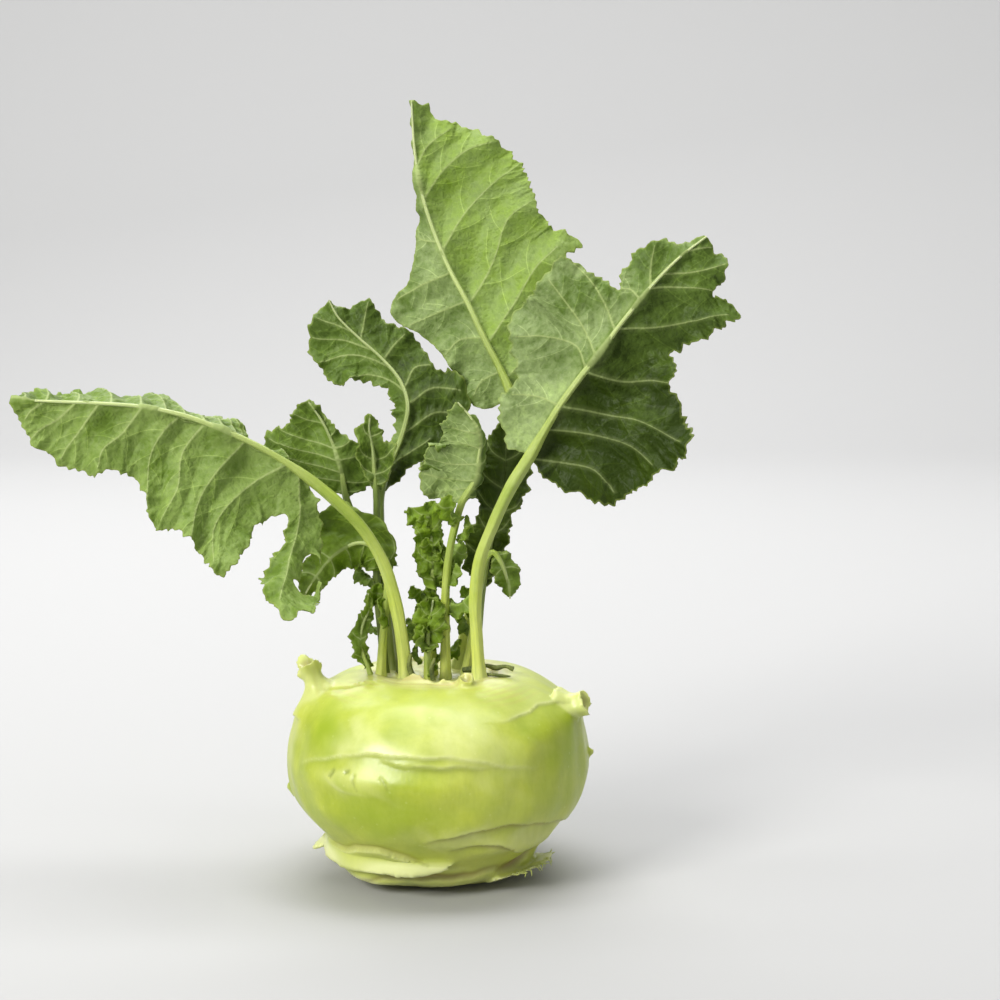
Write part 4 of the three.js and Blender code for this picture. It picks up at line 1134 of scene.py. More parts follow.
# %% The tree that sweeps a ribbed section along a path
def stalk_tree():
    """Sweeps a circle with soft ribs along a path that is as thick as its points say."""
    tree, given, result = new_group(
        "GeometryNodeTree", "Ribbed stalk",
        [("Geometry", "NodeSocketGeometry", None), ("Sides", "NodeSocketInt", 30),
         ("Ribs", "NodeSocketFloat", 5.0), ("Rib depth", "NodeSocketFloat", 0.06),
         ("Material", "NodeSocketMaterial", None)],
        [("Geometry", "NodeSocketGeometry")])
    thick = add(tree, "GeometryNodeInputNamedAttribute", {"Name": "thick"}, data_type="FLOAT")
    path = add(tree, "GeometryNodeMeshToCurve", {"Mesh": given["Geometry"]})
    path = add(tree, "GeometryNodeSetCurveRadius", {"Curve": path.outputs[0], "Radius": thick.outputs[0]})
    circle = add(tree, "GeometryNodeCurvePrimitiveCircle", {"Resolution": given["Sides"], "Radius": 1.0})
    place = add(tree, "GeometryNodeInputPosition").outputs[0]
    parts = add(tree, "ShaderNodeSeparateXYZ", {0: place}).outputs
    wave = maths(tree, "COSINE", times(tree, maths(tree, "ARCTAN2", parts[1], parts[0]), given["Ribs"]))
    scale = plus(tree, 1.0, times(tree, wave, given["Rib depth"]))
    ribbed = add(tree, "ShaderNodeVectorMath", {0: place, "Scale": scale}, operation="SCALE").outputs[0]
    section = add(tree, "GeometryNodeSetPosition", {"Geometry": circle.outputs[0], "Position": ribbed})
    section = add(tree, "GeometryNodeStoreNamedAttribute",
                  {"Geometry": section.outputs[0], "Name": "ring", "Value": place},
                  data_type="FLOAT_VECTOR", domain="POINT")
    tube = add(tree, "GeometryNodeCurveToMesh", {
        "Curve": path.outputs[0], "Profile Curve": section.outputs[0], "Fill Caps": True})
    if "Scale" in tube.inputs:
        tree.links.new(add(tree, "GeometryNodeInputRadius").outputs[0], tube.inputs["Scale"])
    solid = add(tree, "GeometryNodeRealizeInstances", {"Geometry": tube.outputs[0]})
    painted = {"Geometry": solid.outputs[0], "Material": given["Material"]}
    finished = add(tree, "GeometryNodeSetMaterial", painted)
    tree.links.new(finished.outputs[0], result.inputs["Geometry"])
    return tree


def grow(start, tree, name, settings):
    """What the tree makes of the start mesh, as a finished mesh object."""
    holder = new_object("holder", start)
    modifier = holder.modifiers.new("tree", "NODES")
    modifier.node_group = tree
    for item in tree.interface.items_tree:
        if item.in_out == "INPUT" and item.name in settings:
            modifier[item.identifier] = settings[item.name]
    graph = bpy.context.evaluated_depsgraph_get()
    mesh = bpy.data.meshes.new_from_object(holder.evaluated_get(graph), preserve_all_data_layers=True,
                                           depsgraph=graph)
    mesh.name = name
    bpy.data.objects.remove(holder)
    return mesh


def face_outward(mesh):
    """Turns the faces round if they look inward, and smooths the shading."""
    work = bmesh.new()
    work.from_mesh(mesh)
    bmesh.ops.remove_doubles(work, verts=work.verts, dist=1e-6)
    bmesh.ops.recalc_face_normals(work, faces=work.faces)
    if work.calc_volume(signed=True) < 0:
        bmesh.ops.reverse_faces(work, faces=work.faces)
    work.to_mesh(mesh)
    work.free()
    mesh.shade_smooth()


RIBBED = stalk_tree()


def make_stalk(name, leaf):
    """The stalk and the rib of one leaf as a piece."""
    spine = spines[name]
    rng = np.random.default_rng(sum(map(ord, name)) + 7)
    distance = np.arange(-spine.stalk_length, spine.rib_length, 0.8)
    place, _, radius = spine.at(distance)
    above = distance + spine.stalk_length
    flare = 1 + 0.4 * np.exp(-np.maximum(above - 4, 0) / 4)
    slim = 0.86 - 0.28 * np.clip(distance / 14, 0, 1)
    wobble = 1 + 0.04 * np.sin(distance / rng.uniform(5, 8) + rng.uniform(0, 6))
    wobble += 0.02 * np.sin(distance / 2.1)
    rise = np.where(distance < 0, above / spine.stalk_length, 1 + distance / spine.rib_length)
    path = new_mesh("path", place, edges=[(i, i + 1) for i in range(len(place) - 1)])
    # Painted shade for a stalk in shadow: full along the stalk, less than half of it along the rib.
    shade = leaf.get("stalk_shade", 0) * np.clip((above - 1) / 4, 0, 1)
    shade = shade * np.clip((12 - distance) / 12, 0.45, 1)
    store(path, thick=radius * flare * slim * wobble * MM, rise=rise, shade=shade)
    mesh = grow(path, RIBBED, f"{name}_stalk",
                {"Sides": 24, "Ribs": 5.0, "Rib depth": 0.07, "Material": STALK})
    face_outward(mesh)
    piece = new_object(f"{name}_stalk", mesh)
    claim(piece, f"{name}_stalk")
    return piece

# %% Make the stalks
stalks = [make_stalk(name, leaf) for name, leaf in LEAVES.items()]
for piece in stalks:
    print(piece.name, len(piece.data.polygons), "faces,", [a.name for a in piece.data.attributes][:6])

# %% [markdown]
# ## The bulb
#
# The swollen stem is turned from a profile and pushed out where old leaves left their scars, as in
# the CAD part. Stumps, flaps and what is left in the crown are lofted and joined on by a voxel
# remesh, which lets the skin flow from one to the other.

# %% The bulb's rough shape
BULB_WIDTH, BULB_HEIGHT, CROWN_DIP = 95.0, 65.0, 0.97
BULB_PROFILE = [
    [0.34, 0], [0.5, 0.03], [0.63, 0.085], [0.68, 0.155], [0.77, 0.23], [0.875, 0.31], [0.955, 0.4],
    [0.99, 0.47], [1, 0.585], [0.985, 0.7], [0.94, 0.79], [0.86, 0.87], [0.76, 0.93], [0.61, 0.98],
    [0.43, 1], [0.25, 0.985],
]
# The broad swellings at old leaf scars: turn, height, reach, rise, bulge and spread.
SCARS = [
    [-26, 39, 62, -4, 1.8, 4.5], [-80, 57, 34, -7, 1.8, 5], [70, 54, 44, -7, 2, 5],
    [40, 18, 42, -5, 2.4, 3.5], [-46, 8, 34, -4, 4, 4], [52, 7, 26, -3, 1, 3.5],
    [118, 34, 50, 5, 2, 4.5], [172, 50, 46, -6, 2, 5], [-135, 30, 54, -5, 2.2, 4.5],
    [160, 16, 44, 4, 2.6, 4], [-105, 12, 30, -3, 3, 4],
]


def turn_between(turn, at):
    """Degrees from one turn to another, the short way round."""
    return (turn - at + 180) % 360 - 180


def swelling(turn, height):
    """How far the skin stands out at a place on the bulb, from all the scars together."""
    total = np.zeros_like(turn)
    for at, level, reach, rise, bulge, spread in SCARS:
        away = np.clip(turn_between(turn, at) / reach, -1, 1)
        crest = level + rise * away**2
        total += bulge * (1 - away**2) ** 2 * np.exp(-(((height - crest) / spread) ** 2))
    return total


def turned(turn, radius, height):
    """Places from degrees round from the front, radius and height."""
    angle = np.radians(turn)
    return np.stack([radius * np.sin(angle), -radius * np.cos(angle), height + 0 * radius], axis=-1)


def skin_radius(height):
    """The plain radius of the bulb at a height."""
    line = smooth_line([(r * BULB_WIDTH / 2, z * BULB_HEIGHT) for r, z in BULB_PROFILE[:-1]], 10)
    return np.interp(height, line[:, 1], line[:, 0])


def on_skin(turn, height):
    """Places on the swollen skin."""
    turn, height = np.asarray(turn, float), np.asarray(height, float)
    place = turned(turn, skin_radius(height), height)
    outward = unit(place - [0, 0, BULB_HEIGHT / 2])
    return place + outward * swelling(turn, height)[..., None]


def loft(rings):
    """A closed surface through rings of points, with a point in the middle of each end."""
    count = len(rings[0])
    points = np.vstack(list(rings) + [rings[0].mean(0)[None], rings[-1].mean(0)[None]])
    faces, first, last = [], len(points) - 2, len(points) - 1
    for row in range(len(rings) - 1):
        for i in range(count):
            a, b = row * count + i, row * count + (i + 1) % count
            faces += [(a, b, b + count), (a, b + count, a + count)]
    top = (len(rings) - 1) * count
    for i in range(count):
        faces += [((i + 1) % count, i, first), (top + i, top + (i + 1) % count, last)]
    faces = np.array(faces)
    a, b, c = points[faces[:, 0]], points[faces[:, 1]], points[faces[:, 2]]
    return points, faces if (np.cross(a, b) * c).sum() > 0 else faces[:, ::-1]


def body():
    """The turned and swollen body."""
    line = smooth_line([(r * BULB_WIDTH / 2, z * BULB_HEIGHT) for r, z in BULB_PROFILE], 8)
    inner = np.linspace([line[-1, 0], line[-1, 1]], [3, CROWN_DIP * BULB_HEIGHT], 8)[1:]
    line = np.vstack([line, inner])
    turn = np.linspace(-180, 180, 240, endpoint=False)
    rings = []
    for radius, height in line:
        ring = turned(turn, np.full_like(turn, radius), height)
        outward = unit(ring - [0, 0, BULB_HEIGHT / 2])
        ring = ring + outward * (swelling(turn, np.full_like(turn, height)) * (height > 0.01))[:, None]
        ring[:, 2] = np.maximum(ring[:, 2], 0)
        rings.append(ring)
    return loft(rings)


def stump_axis(turn, lean):
    """The way that a stump points."""
    around, up = math.radians(turn), math.radians(lean)
    return np.array([math.sin(around) * math.cos(up), -math.cos(around) * math.cos(up), math.sin(up)])


def stump(turn, height, lean, length, radii, hollow, ragged, rng):
    """What is left of a cut stalk: a trumpet with an uneven, hollow end."""
    axis = stump_axis(turn, lean)
    side = np.cross(axis, [0, 0, 1.0])
    side /= np.linalg.norm(side)
    over = np.cross(side, axis)
    start = on_skin(turn, height) - axis * length * 0.45
    angle = np.linspace(0, 2 * math.pi, 36, endpoint=False)
    uneven = 1 + 0.08 * np.sin(2 * angle + rng.uniform(0, 6))
    uneven = uneven + 0.06 * np.sin(5 * angle + rng.uniform(0, 6))
    lip = np.cos(2 * angle + 0.4) * 0.5 + 0.3 * np.sin(3 * angle + rng.uniform(0, 6))
    lip = ragged * (lip + rng.uniform(-0.2, 0.2, len(angle)))
    whole = length * 1.45  # with the part that is inside the bulb
    shares = np.linspace(0, 1, len(radii))
    path = smooth_line([[share * whole, radius] for share, radius in zip(shares, radii)], 5)
    rings = []
    for reach, radius in path:
        tilt = lip * max(0, reach / whole - 0.6) / 0.4
        centre = start + axis * reach
        rings.append(centre + np.outer(np.cos(angle) * uneven, side) * radius
                     + np.outer(np.sin(angle) * uneven, over) * radius + np.outer(tilt, axis))
    for share, sink in ((0.82, 0.1), (0.6, 0.8), (0.3, 1.2)):
        ring = rings[len(path) - 1]
        middle = ring.mean(0)
        rings.append(middle + (ring - middle) * share - axis * hollow * sink)
    return loft(rings)


def flap(turns, foot, edge, thick, ragged, rng):
    """A leftover of a leaf base that stands off the bulb: from its foot line to a free, torn edge."""
    count = 40
    turn = np.linspace(*turns, count)
    share = np.linspace(-1, 1, count)
    taper = np.sqrt(np.clip(1 - share**2, 0, 1))
    torn = 1 + ragged * rng.uniform(-1, 0.35, count) * taper
    rings = []
    levels = np.linspace(0, 1, 7)
    for side, order in ((1, levels), (-1, levels[::-1])):
        for level in order:
            out = level * torn * taper
            radius = foot[0] + (edge[0] - foot[0]) * out + side * thick * (1 - 0.45 * level) / 2
            height = foot[1] + (edge[1] - foot[1]) * out
            rings.append(turned(turn, radius, height))
    rings = np.array(rings)
    return loft(np.transpose(rings, (1, 0, 2)))


# Cut stalks and two small nubs: (turn, height, lean, length, radii, hollow, ragged).
STUMPS = [
    (-80, 60, 66, 9, [11, 8, 5.2, 3.4, 2.9, 3.4, 4.4], 1.0, 3.6),
    (73, 55.5, 20, 5.8, [7.5, 5.8, 4.4, 3.7, 3.8, 4.1], 2.2, 1.1),
    (172, 53, 40, 9, [8, 6, 4.4, 3.6, 3.4, 3.8], 1.2, 1.2),
    (25, 64.9, 70, 3, [4.2, 3.4, 2.8, 2.6], 1.8, 0.9),
    (-88, 28, 8, 1.8, [3, 2, 1.3, 0.9], 0.1, 0.2),
    (90, 38.6, 5, 1.8, [2.6, 1.8, 1.2, 0.9], 0.1, 0.2),
    (-150, 64.2, 75, 4.5, [6, 4.6, 3.4, 3], 1, 1.4),
]
# Leftovers of leaf bases: (turns, foot, edge, thickness, raggedness).
FLAPS = [
    ((33, 98), (27.5, 3.0), (37.4, 7.4), 2.6, 0.3), ((-104, 12), (34.5, 13.5), (36.6, 8), 2.2, 0.08),
    ((-98, -84), (35, 10), (39.5, 7.5), 2.4, 0.5), ((-64, 18), (22, 2.6), (21.5, 0.8), 2.4, 0.2),
    ((150, 215), (31, 11), (34.5, 6), 2.4, 0.3), ((100, 140), (27, 4), (35, 9), 2.2, 0.4),
    ((-40, 2), (20.5, 61.5), (17.0, 67.8), 2.0, 0.25), ((-4, 22), (20, 62), (18.0, 66.5), 1.8, 0.25),
    ((60, 130), (19, 62), (17.5, 66.5), 1.8, 0.25), ((150, 230), (19, 62), (17, 66.8), 1.8, 0.25),
]


def make_bulb():
    """The body, the stumps and the flaps as one skin."""
    rng = np.random.default_rng(65)
    shapes = [body()] + [stump(*values, rng) for values in STUMPS]
    shapes += [flap(*values, rng) for values in FLAPS]
    points, faces, count = [], [], 0
    for places, triangles in shapes:
        points.append(places)
        faces.append(triangles + count)
        count += len(places)
    piece = new_object("rough", new_mesh("bulb", np.vstack(points), faces=np.vstack(faces)))
    remesh = piece.modifiers.new("remesh", "REMESH")
    remesh.mode, remesh.voxel_size = "VOXEL", VOXEL * MM
    smooth = piece.modifiers.new("smooth", "SMOOTH")
    smooth.factor, smooth.iterations = 0.5, 3
    graph = bpy.context.evaluated_depsgraph_get()
    made = bpy.data.meshes.new_from_object(piece.evaluated_get(graph), depsgraph=graph)
    bpy.data.objects.remove(piece)
    return made


bulb_mesh = make_bulb()
print("bulb:", len(bulb_mesh.vertices), "points")

# %% [markdown]
# ## Folds, scars and cracks
#
# Each fold is a line on the skin, in degrees round from the front and millimetres up. The skin
# swells towards it from one side, stands up in a thin lip and drops into a groove on the other.
# A crack is only a groove. The same distances give the material its pale, which is partly the scar's
# own colour and partly a painted highlight on the crest, and the painted shade in the grooves.

# %% Folds on the skin
FOLD_STEP = 1.5  # millimetres between the points of a fold
FOLD_REACH = 18  # millimetres from a fold at which the skin no longer feels it
# Folds: (line, side that swells, lip, width, groove, pale, painted shade). A crack has no such side.
FOLDS = [
    ([(-63, 40), (-46, 45), (-34, 47.4), (-13, 48.6), (2, 48.3), (17, 46.7), (40, 42.6)],
     1, 0.5, 2.8, 0.3, 0.8, 0.08),
    ([(-22, 47.4), (-12.6, 46.2), (0, 45.4), (13, 45.6), (22, 45)], 1, 0.4, 1.4, 0.8, 0.5, 0.25),
    ([(-46, 42), (-41, 38.4), (-33, 36.6), (-24, 36.4)], 1, 0.2, 2.6, 0.05, 0.3, 0.0),
    ([(-29.3, 43.4), (-29.9, 40.4), (-28.4, 37.5)], 0, 0, 0.45, 0.35, 0, 0.35),
    ([(-21, 43.2), (-18, 40.8), (-16.5, 38.4)], 0, 0, 0.45, 0.3, 0, 0.3),
    ([(-42, 39), (-40.5, 40.5), (-39.5, 42)], 0, 0, 0.7, 0.5, 0, 0.6),
    ([(-35.5, 41.5), (-32.5, 42.6)], 0, 0, 0.6, 0.4, 0, 0.6),
    ([(-6, 20), (2.2, 22.3), (10, 24.7), (17.6, 26.1), (30, 26.6), (45.5, 25.3), (63, 22.6), (84, 18)],
     1, 1.3, 4.5, 0.9, 0.35, 0.5),
    ([(4, 17.5), (15, 19.8), (21.5, 20.1), (29, 19.2), (44, 15.5), (58, 12)],
     1, 1.0, 3, 0.8, 0.3, 0.45),
    ([(-80, 14), (-60, 13.5), (-47, 14.8), (-25.5, 17), (-16.6, 15.6), (-7.8, 12.9), (2.4, 11.3), (18, 10)],
     -1, 1.5, 3, 0.7, 0.6, 0.35),
    ([(-44, 5.5), (-29, 6.7), (-9, 6.9), (8, 6.9), (26, 7.4), (42, 8.5)], -1, 0.9, 2.2, 0.9, 0.4, 0.8),
    ([(80, 57.2), (68, 58), (57, 58.5), (38, 57.7), (26, 56.5)], 1, 0.5, 1.8, 0.15, 0.9, 0.0),
    ([(-78, 60.5), (-68, 62.5), (-57, 64), (-44, 64.4)], 1, 0.5, 1.5, 0.4, 0.4, 0.3),
    ([(34, 7.6), (42, 8.0), (50, 8.8), (58, 10.2), (66, 12)], 0, 0, 1.25, 1.6, 0, 1.0),
    ([(88, 38), (104, 39), (122, 36), (144, 40), (166, 38)], 1, 1.1, 3, 0.8, 0.6, 0.4),
    ([(140, 58), (160, 55), (178, 54), (196, 56), (214, 58)], 1, 0.9, 2, 0.7, 0.7, 0.3),
    ([(196, 34), (214, 30), (232, 31), (250, 35), (266, 38)], 1, 1.0, 3, 0.7, 0.6, 0.4),
    ([(120, 24), (144, 20), (168, 21), (196, 18), (220, 21)], -1, 1.2, 3, 0.8, 0.5, 0.45),
    ([(206, 13), (232, 10), (256, 11.5), (276, 12)], -1, 1.3, 2.6, 0.8, 0.5, 0.45),
    ([(150, 7), (176, 6), (204, 6.6), (232, 6)], -1, 0.9, 2.2, 0.8, 0.4, 0.6),
]

# Patches where the wax is thick and pale, which on the upper left of the front also paint a highlight,
# and where the green is deep: (turn, height, half width in degrees, half height in millimetres, strength).
WAX_AND_SHEEN = [
    (-30, 52, 13, 5, 0.75), (8, 55, 18, 7, 0.6), (24, 44, 16, 9, 0.35), (-78, 44, 10, 12, 0.35),
    (12, 22, 22, 4, 0.45), (44, 19, 18, 4, 0.45), (-30, 41, 16, 4, 0.4), (112, 46, 18, 10, 0.5),
    (168, 34, 26, 8, 0.5), (-134, 50, 24, 8, 0.6), (-150, 22, 26, 5, 0.4), (205, 52, 16, 7, 0.5),
]
DEEP = [
    (-52, 52, 14, 9, 0.8), (-24, 29, 26, 8, 0.7), (66, 46, 22, 12, 0.75), (-4, 60, 14, 3, 0.5),
    (48, 31, 20, 5, 0.5), (140, 48, 14, 10, 0.6), (-104, 36, 16, 12, 0.6), (184, 46, 16, 8, 0.6),
    (-160, 36, 14, 10, 0.6), (88, 26, 18, 6, 0.5),
]


def patch_strength(patches, turn, height):
    """How strong the patches are at each place, with soft, wandering edges."""
    total = np.zeros_like(turn)
    turn = turn + 3.0 * np.sin(height / 2.9) + 2.0 * np.sin(height / 1.3 + turn / 9)
    height = height + 1.6 * np.sin(turn / 3.7) + 0.8 * np.sin(turn / 1.6)
    for at, level, wide, tall, strength in patches:
        away = turn_between(turn, at) / wide
        total += strength * np.exp(-((away**2 + ((height - level) / tall) ** 2) ** 1.3))
    return np.clip(total, 0, 1)


def fold_relief(points):
    """How far each fold lifts each point, how pale it makes it, and how much painted shade it lays there.
    """
    lift, pale, dark = np.zeros((3, len(points)))
    rng = np.random.default_rng(11)
    for line, side, lip, width, groove, light, shade in FOLDS:
        flat = resample(smooth_line(line, 8), FOLD_STEP)
        run = run_of(flat)
        sway = np.sin(run / 5.5 + rng.uniform(0, 6)) + 0.6 * np.sin(run / 2.3 + rng.uniform(0, 6))
        flat[:, 1] += 0.3 * sway * (side != 0)
        places = on_skin(flat[:, 0], flat[:, 1])
        near = np.zeros(len(points), bool)
        for part in batches(len(points)):
            away = np.linalg.norm(points[part, None] - places[None, ::4], axis=2)
            near[part] = away.min(1) < FOLD_REACH
        chosen = points[near]
        distance, nearest, _ = distance_to(chosen, places[:-1], places[1:])
        share = nearest / (len(places) - 1)
        taper = np.clip(4 * share * (1 - share), 0, 1) ** 0.8
        level = (places[nearest, 2] + places[nearest + 1, 2]) / 2
        above = np.sign(chosen[:, 2] - level) * (side or 1)
        signed = distance * above
        if side:
            past = np.exp(-np.abs(signed) / 0.35)
            swell = np.exp(-((signed / (2.2 * width)) ** 2))
            drop = past * lip - groove * (1 - past) * np.exp(-np.abs(signed) / 2.4)
            lift[near] += taper * np.where(signed >= 0, lip * swell, drop)
            # The thin pale line on the crest is a painted highlight, the pale slope beside it is the scar's
            # own colour, and the dark just past the lip is painted shade in the groove.
            crest = 0.55 * np.exp(-((signed / 0.6) ** 2))
            slope = 0.35 * (signed > 0) * np.exp(-signed / (1.5 * width))
            pale[near] += taper * light * (crest + slope)
            dark[near] += taper * shade * np.exp(-(((signed + 0.9) / 0.95) ** 2))
        else:
            # A crack is darkened by painted shade in its groove.
            cut = np.exp(-((distance / width) ** 2))
            lift[near] -= groove * cut * taper
            dark[near] += shade * cut * taper
    return lift, np.clip(pale, 0, 1), np.clip(dark, 0, 1)


def read_points(mesh):
    """Places in millimetres and normals of the mesh's points."""
    found = []
    for kept, label in ((mesh.vertices, "co"), (mesh.vertex_normals, "vector")):
        values = np.zeros(len(mesh.vertices) * 3)
        kept.foreach_get(label, values)
        found.append(values.reshape(-1, 3))
    return found[0] / MM, found[1]


def root_scar(turn, radius):
    """The scar of the root and the rings around it: how corky they are and how far they sink."""
    rings = np.abs(np.sin(radius / 1.35 + 0.8 * np.sin(np.radians(turn) * 2)))
    cork = np.clip((9.5 - radius) / 2, 0, 1) + 0.35 * np.clip((rings - 0.8) * 5, 0, 1) * (radius > 9)
    sink = 0.5 * (1 - rings) * (radius > 8) * (radius < 17) + 0.6 * (radius < 8.5)
    return cork, sink


def stump_hollows(points):
    """How deep in the hollow end of a stump each point is, from 0 to 1."""
    inner = np.zeros(len(points))
    for at, level, lean, length, radii, hollow, _ in STUMPS:
        if hollow > 0.5:
            end = on_skin(at, level) + stump_axis(at, lean) * (length - 0.6 * hollow)
            away = np.linalg.norm(points - end, axis=1) / (0.62 * radii[-1])
            inner = np.maximum(inner, np.exp(-(away**4)))
    return inner


def finish_bulb(mesh):
    """Gives the remeshed bulb its relief and the numbers that its material reads."""
    points, normals = read_points(mesh)
    height = points[:, 2]
    turn = np.degrees(np.arctan2(points[:, 0], -points[:, 1]))
    radius = np.hypot(points[:, 0], points[:, 1])
    lift, pale, dark = fold_relief(points)
    rng = np.random.default_rng(3)
    for _ in range(8):
        way = unit(rng.normal(size=3)) * 2 * math.pi / rng.uniform(9, 30)
        lift += 0.09 * np.sin(points @ way + rng.uniform(0, 6.28))

    # The crown is wrinkled and pale, the foot is pale, and so is all that stands off the skin. Low down,
    # on the skirt, which lies in shade, part of that pale is painted light.
    crown = np.clip((height - 61.5) / 4, 0, 1) * np.clip((26 - radius) / 6, 0, 1)
    lift += crown * 0.5 * np.sin(turn / 9) * np.sin(radius / 1.9)
    foot = np.clip((7 - height) / 5, 0, 1)
    standing = radius - skin_radius(np.clip(height, 1, 63.5)) - swelling(turn, height)
    standing = np.clip((standing - 0.6) / 2, 0, np.where(height < 15, 0.95, 0.5)) * (height > 3)
    for share in (crown * 0.6, foot * 0.4, standing):
        pale = np.maximum(pale, share)

    # Cork is on the root scar, in the low folds, in the stumps, on the shoulders and in the crown.
    under = (normals[:, 2] < -0.6) & (height < 3)
    cork, sink = root_scar(turn, radius)
    cork, lift = under * cork, lift - under * sink
    inner = stump_hollows(points)
    stripes = np.clip(np.sin(radius * 2.6 + turn * 0.08) + 0.3, 0, 1)
    shoulders = np.exp(-(((turn + 58) / 15) ** 2)) + 0.8 * np.exp(-(((turn - 44) / 18) ** 2))
    shoulders = 0.28 * stripes * shoulders * np.clip((height - 59.5) / 2, 0, 1) * (radius > 20)
    for share in (0.6 * dark * (height < 30), 0.35 * inner, shoulders, crown * (0.2 + 0.3 * stripes)):
        cork = np.maximum(cork, share)
    # Painted shade in the hollow mouths of the stumps.
    dark = np.maximum(dark, 0.5 * inner)

    lift = np.where((height < 0.4) & ~under, 0, lift)  # what the bulb stands on stays flat
    moved = points + normals * lift[:, None]
    moved[:, 2] = np.maximum(moved[:, 2], 0)
    mesh.vertices.foreach_set("co", (moved * MM).ravel())
    store(mesh, pale=pale, dark=np.clip(dark, 0, 0.9), cork=np.clip(cork, 0, 1),
          wax=patch_strength(WAX_AND_SHEEN, turn, height), deep=patch_strength(DEEP, turn, height))
    mesh.materials.clear()
    mesh.materials.append(SKIN)
    face_outward(mesh)
    piece = new_object("bulb", mesh)
    claim(piece, "bulb")
    return piece


bulb = finish_bulb(bulb_mesh)
print("bulb faces:", len(bulb.data.polygons))

# %% [markdown]
# ## Small things
#
# The heart of the plant is a cluster of crumpled leaflets. One leaflet is made like the big blades,
# and a Geometry Nodes tree sets copies of it along the young stalks, each turned and sized by chance
# from a fixed seed. A dried twig in the crown and the torn fibres under the bulb are swept like stalks.

# %% Leaflets along a path
# Where they sit: (leaf, from, to, how many), in millimetres along the stalk from the blade's foot.
LEAFLETS = [
    ("young_leaf_upper", -22, 20, 15), ("young_leaf_lower", -6, 12, 7), ("centre_leaf", -34, -6, 5),
    ("dark_leaf", -14, 6, 4), ("forked_leaf", -44, -20, 7), ("frilled_leaf", -34, -20, 4),
]


def scatter_tree():
    """Sets a copy of the leaflet on every point, turned and sized by chance."""
    tree, given, result = new_group(
        "GeometryNodeTree", "Leaflets on points",
        [("Geometry", "NodeSocketGeometry", None), ("Leaflet", "NodeSocketObject", None),
         ("Smallest", "NodeSocketFloat", 0.5), ("Largest", "NodeSocketFloat", 1.1),
         ("Seed", "NodeSocketInt", 4), ("Material", "NodeSocketMaterial", None)],
        [("Geometry", "NodeSocketGeometry")])
    leaflet = add(tree, "GeometryNodeObjectInfo", {"Object": given["Leaflet"]}).outputs["Geometry"]
    turns = add(tree, "FunctionNodeRandomValue",
                {"Min": (0.35, -0.5, 0.0), "Max": (1.35, 0.5, 6.28), "Seed": given["Seed"]},
                data_type="FLOAT_VECTOR").outputs[0]
    sizes = add(tree, "FunctionNodeRandomValue", {"Seed": given["Seed"]}, data_type="FLOAT")
    for socket in sizes.inputs:
        if socket.type == "VALUE" and socket.name in ("Min", "Max"):
            tree.links.new(given["Smallest" if socket.name == "Min" else "Largest"], socket)
    size = next(socket for socket in sizes.outputs if socket.type == "VALUE")
    copies = add(tree, "GeometryNodeInstanceOnPoints", {
        "Points": given["Geometry"], "Instance": leaflet, "Rotation": turns, "Scale": size})
    solid = add(tree, "GeometryNodeRealizeInstances", {"Geometry": copies.outputs[0]})
    painted = {"Geometry": solid.outputs[0], "Material": given["Material"]}
    finished = add(tree, "GeometryNodeSetMaterial", painted)
    tree.links.new(finished.outputs[0], result.inputs["Geometry"])
    return tree


def add_piece(name, mesh):
    """Shows a finished mesh as a piece that stands for no CAD node."""
    piece = new_object(name, mesh)
    claim(piece, None)
    print(name, len(mesh.polygons), "faces")


def leaflet_source():
    """One crumpled leaflet, standing on its foot."""
    leaf = dict(
        tone=[[0.65, 0.8], [0.65, 0.8]], fresh=[0.7, 0.7], crinkle=1.9, pleat=0.9,
        stalk=[[0, 0, -3], [0, 0, 0]],
        rib=[[0, 0, 0], [0, -0.8, 4], [0, -0.4, 8], [0, 0.9, 11]],
        radii=[0.5, 0.4, 0.2], face=[0, -1, 0],
        left=dict(reach=5, spread=[[-0.8, -0.6, 0], [-0.8, -0.5, 0]],
                  hang=[[-0.8, 0.5, 0], [-0.9, 0.3, 0]]),
        right=dict(reach=5, spread=[[0.8, -0.6, 0], [0.8, -0.5, 0]],
                   hang=[[0.8, 0.5, 0], [0.9, 0.3, 0]]),
        rows=[[0, -0.5, 0.8, -0.5, 0.8], [1.5, 2, 3.2, 2, 3], [4, 5.5, 4.2, 5, 4.4], [7, 9, 3.4, 8.5, 3.2],
              [11.5, 12, 0.6, 12, 0.6]])
    points, faces, flat, numbers = blade_surface("leaflet", leaf, Spine(leaf))
    mesh = new_mesh("leaflet", points, faces=faces)
    leaf_mesh(mesh, flat, numbers)
    return bpy.data.objects.new("leaflet_source", mesh)


def make_leaflets():
    """The crumpled leaflets along the young stalks, as one piece."""
    rng = np.random.default_rng(5)
    places = []
    for name, low, high, count in LEAFLETS:
        at, _, _ = spines[name].at(np.linspace(low, high, count))
        places.append(at + rng.uniform(-1, 1, at.shape) * [1.4, 1.2, 0.8])
    source = leaflet_source()
    mesh = grow(new_mesh("places", np.vstack(places)), scatter_tree(), "young_leaflets",
                {"Leaflet": source, "Smallest": 0.45, "Largest": 1.0, "Seed": 4, "Material": YOUNG})
    bpy.data.objects.remove(source)
    mesh.shade_smooth()
    add_piece("young_leaflets", mesh)


make_leaflets()

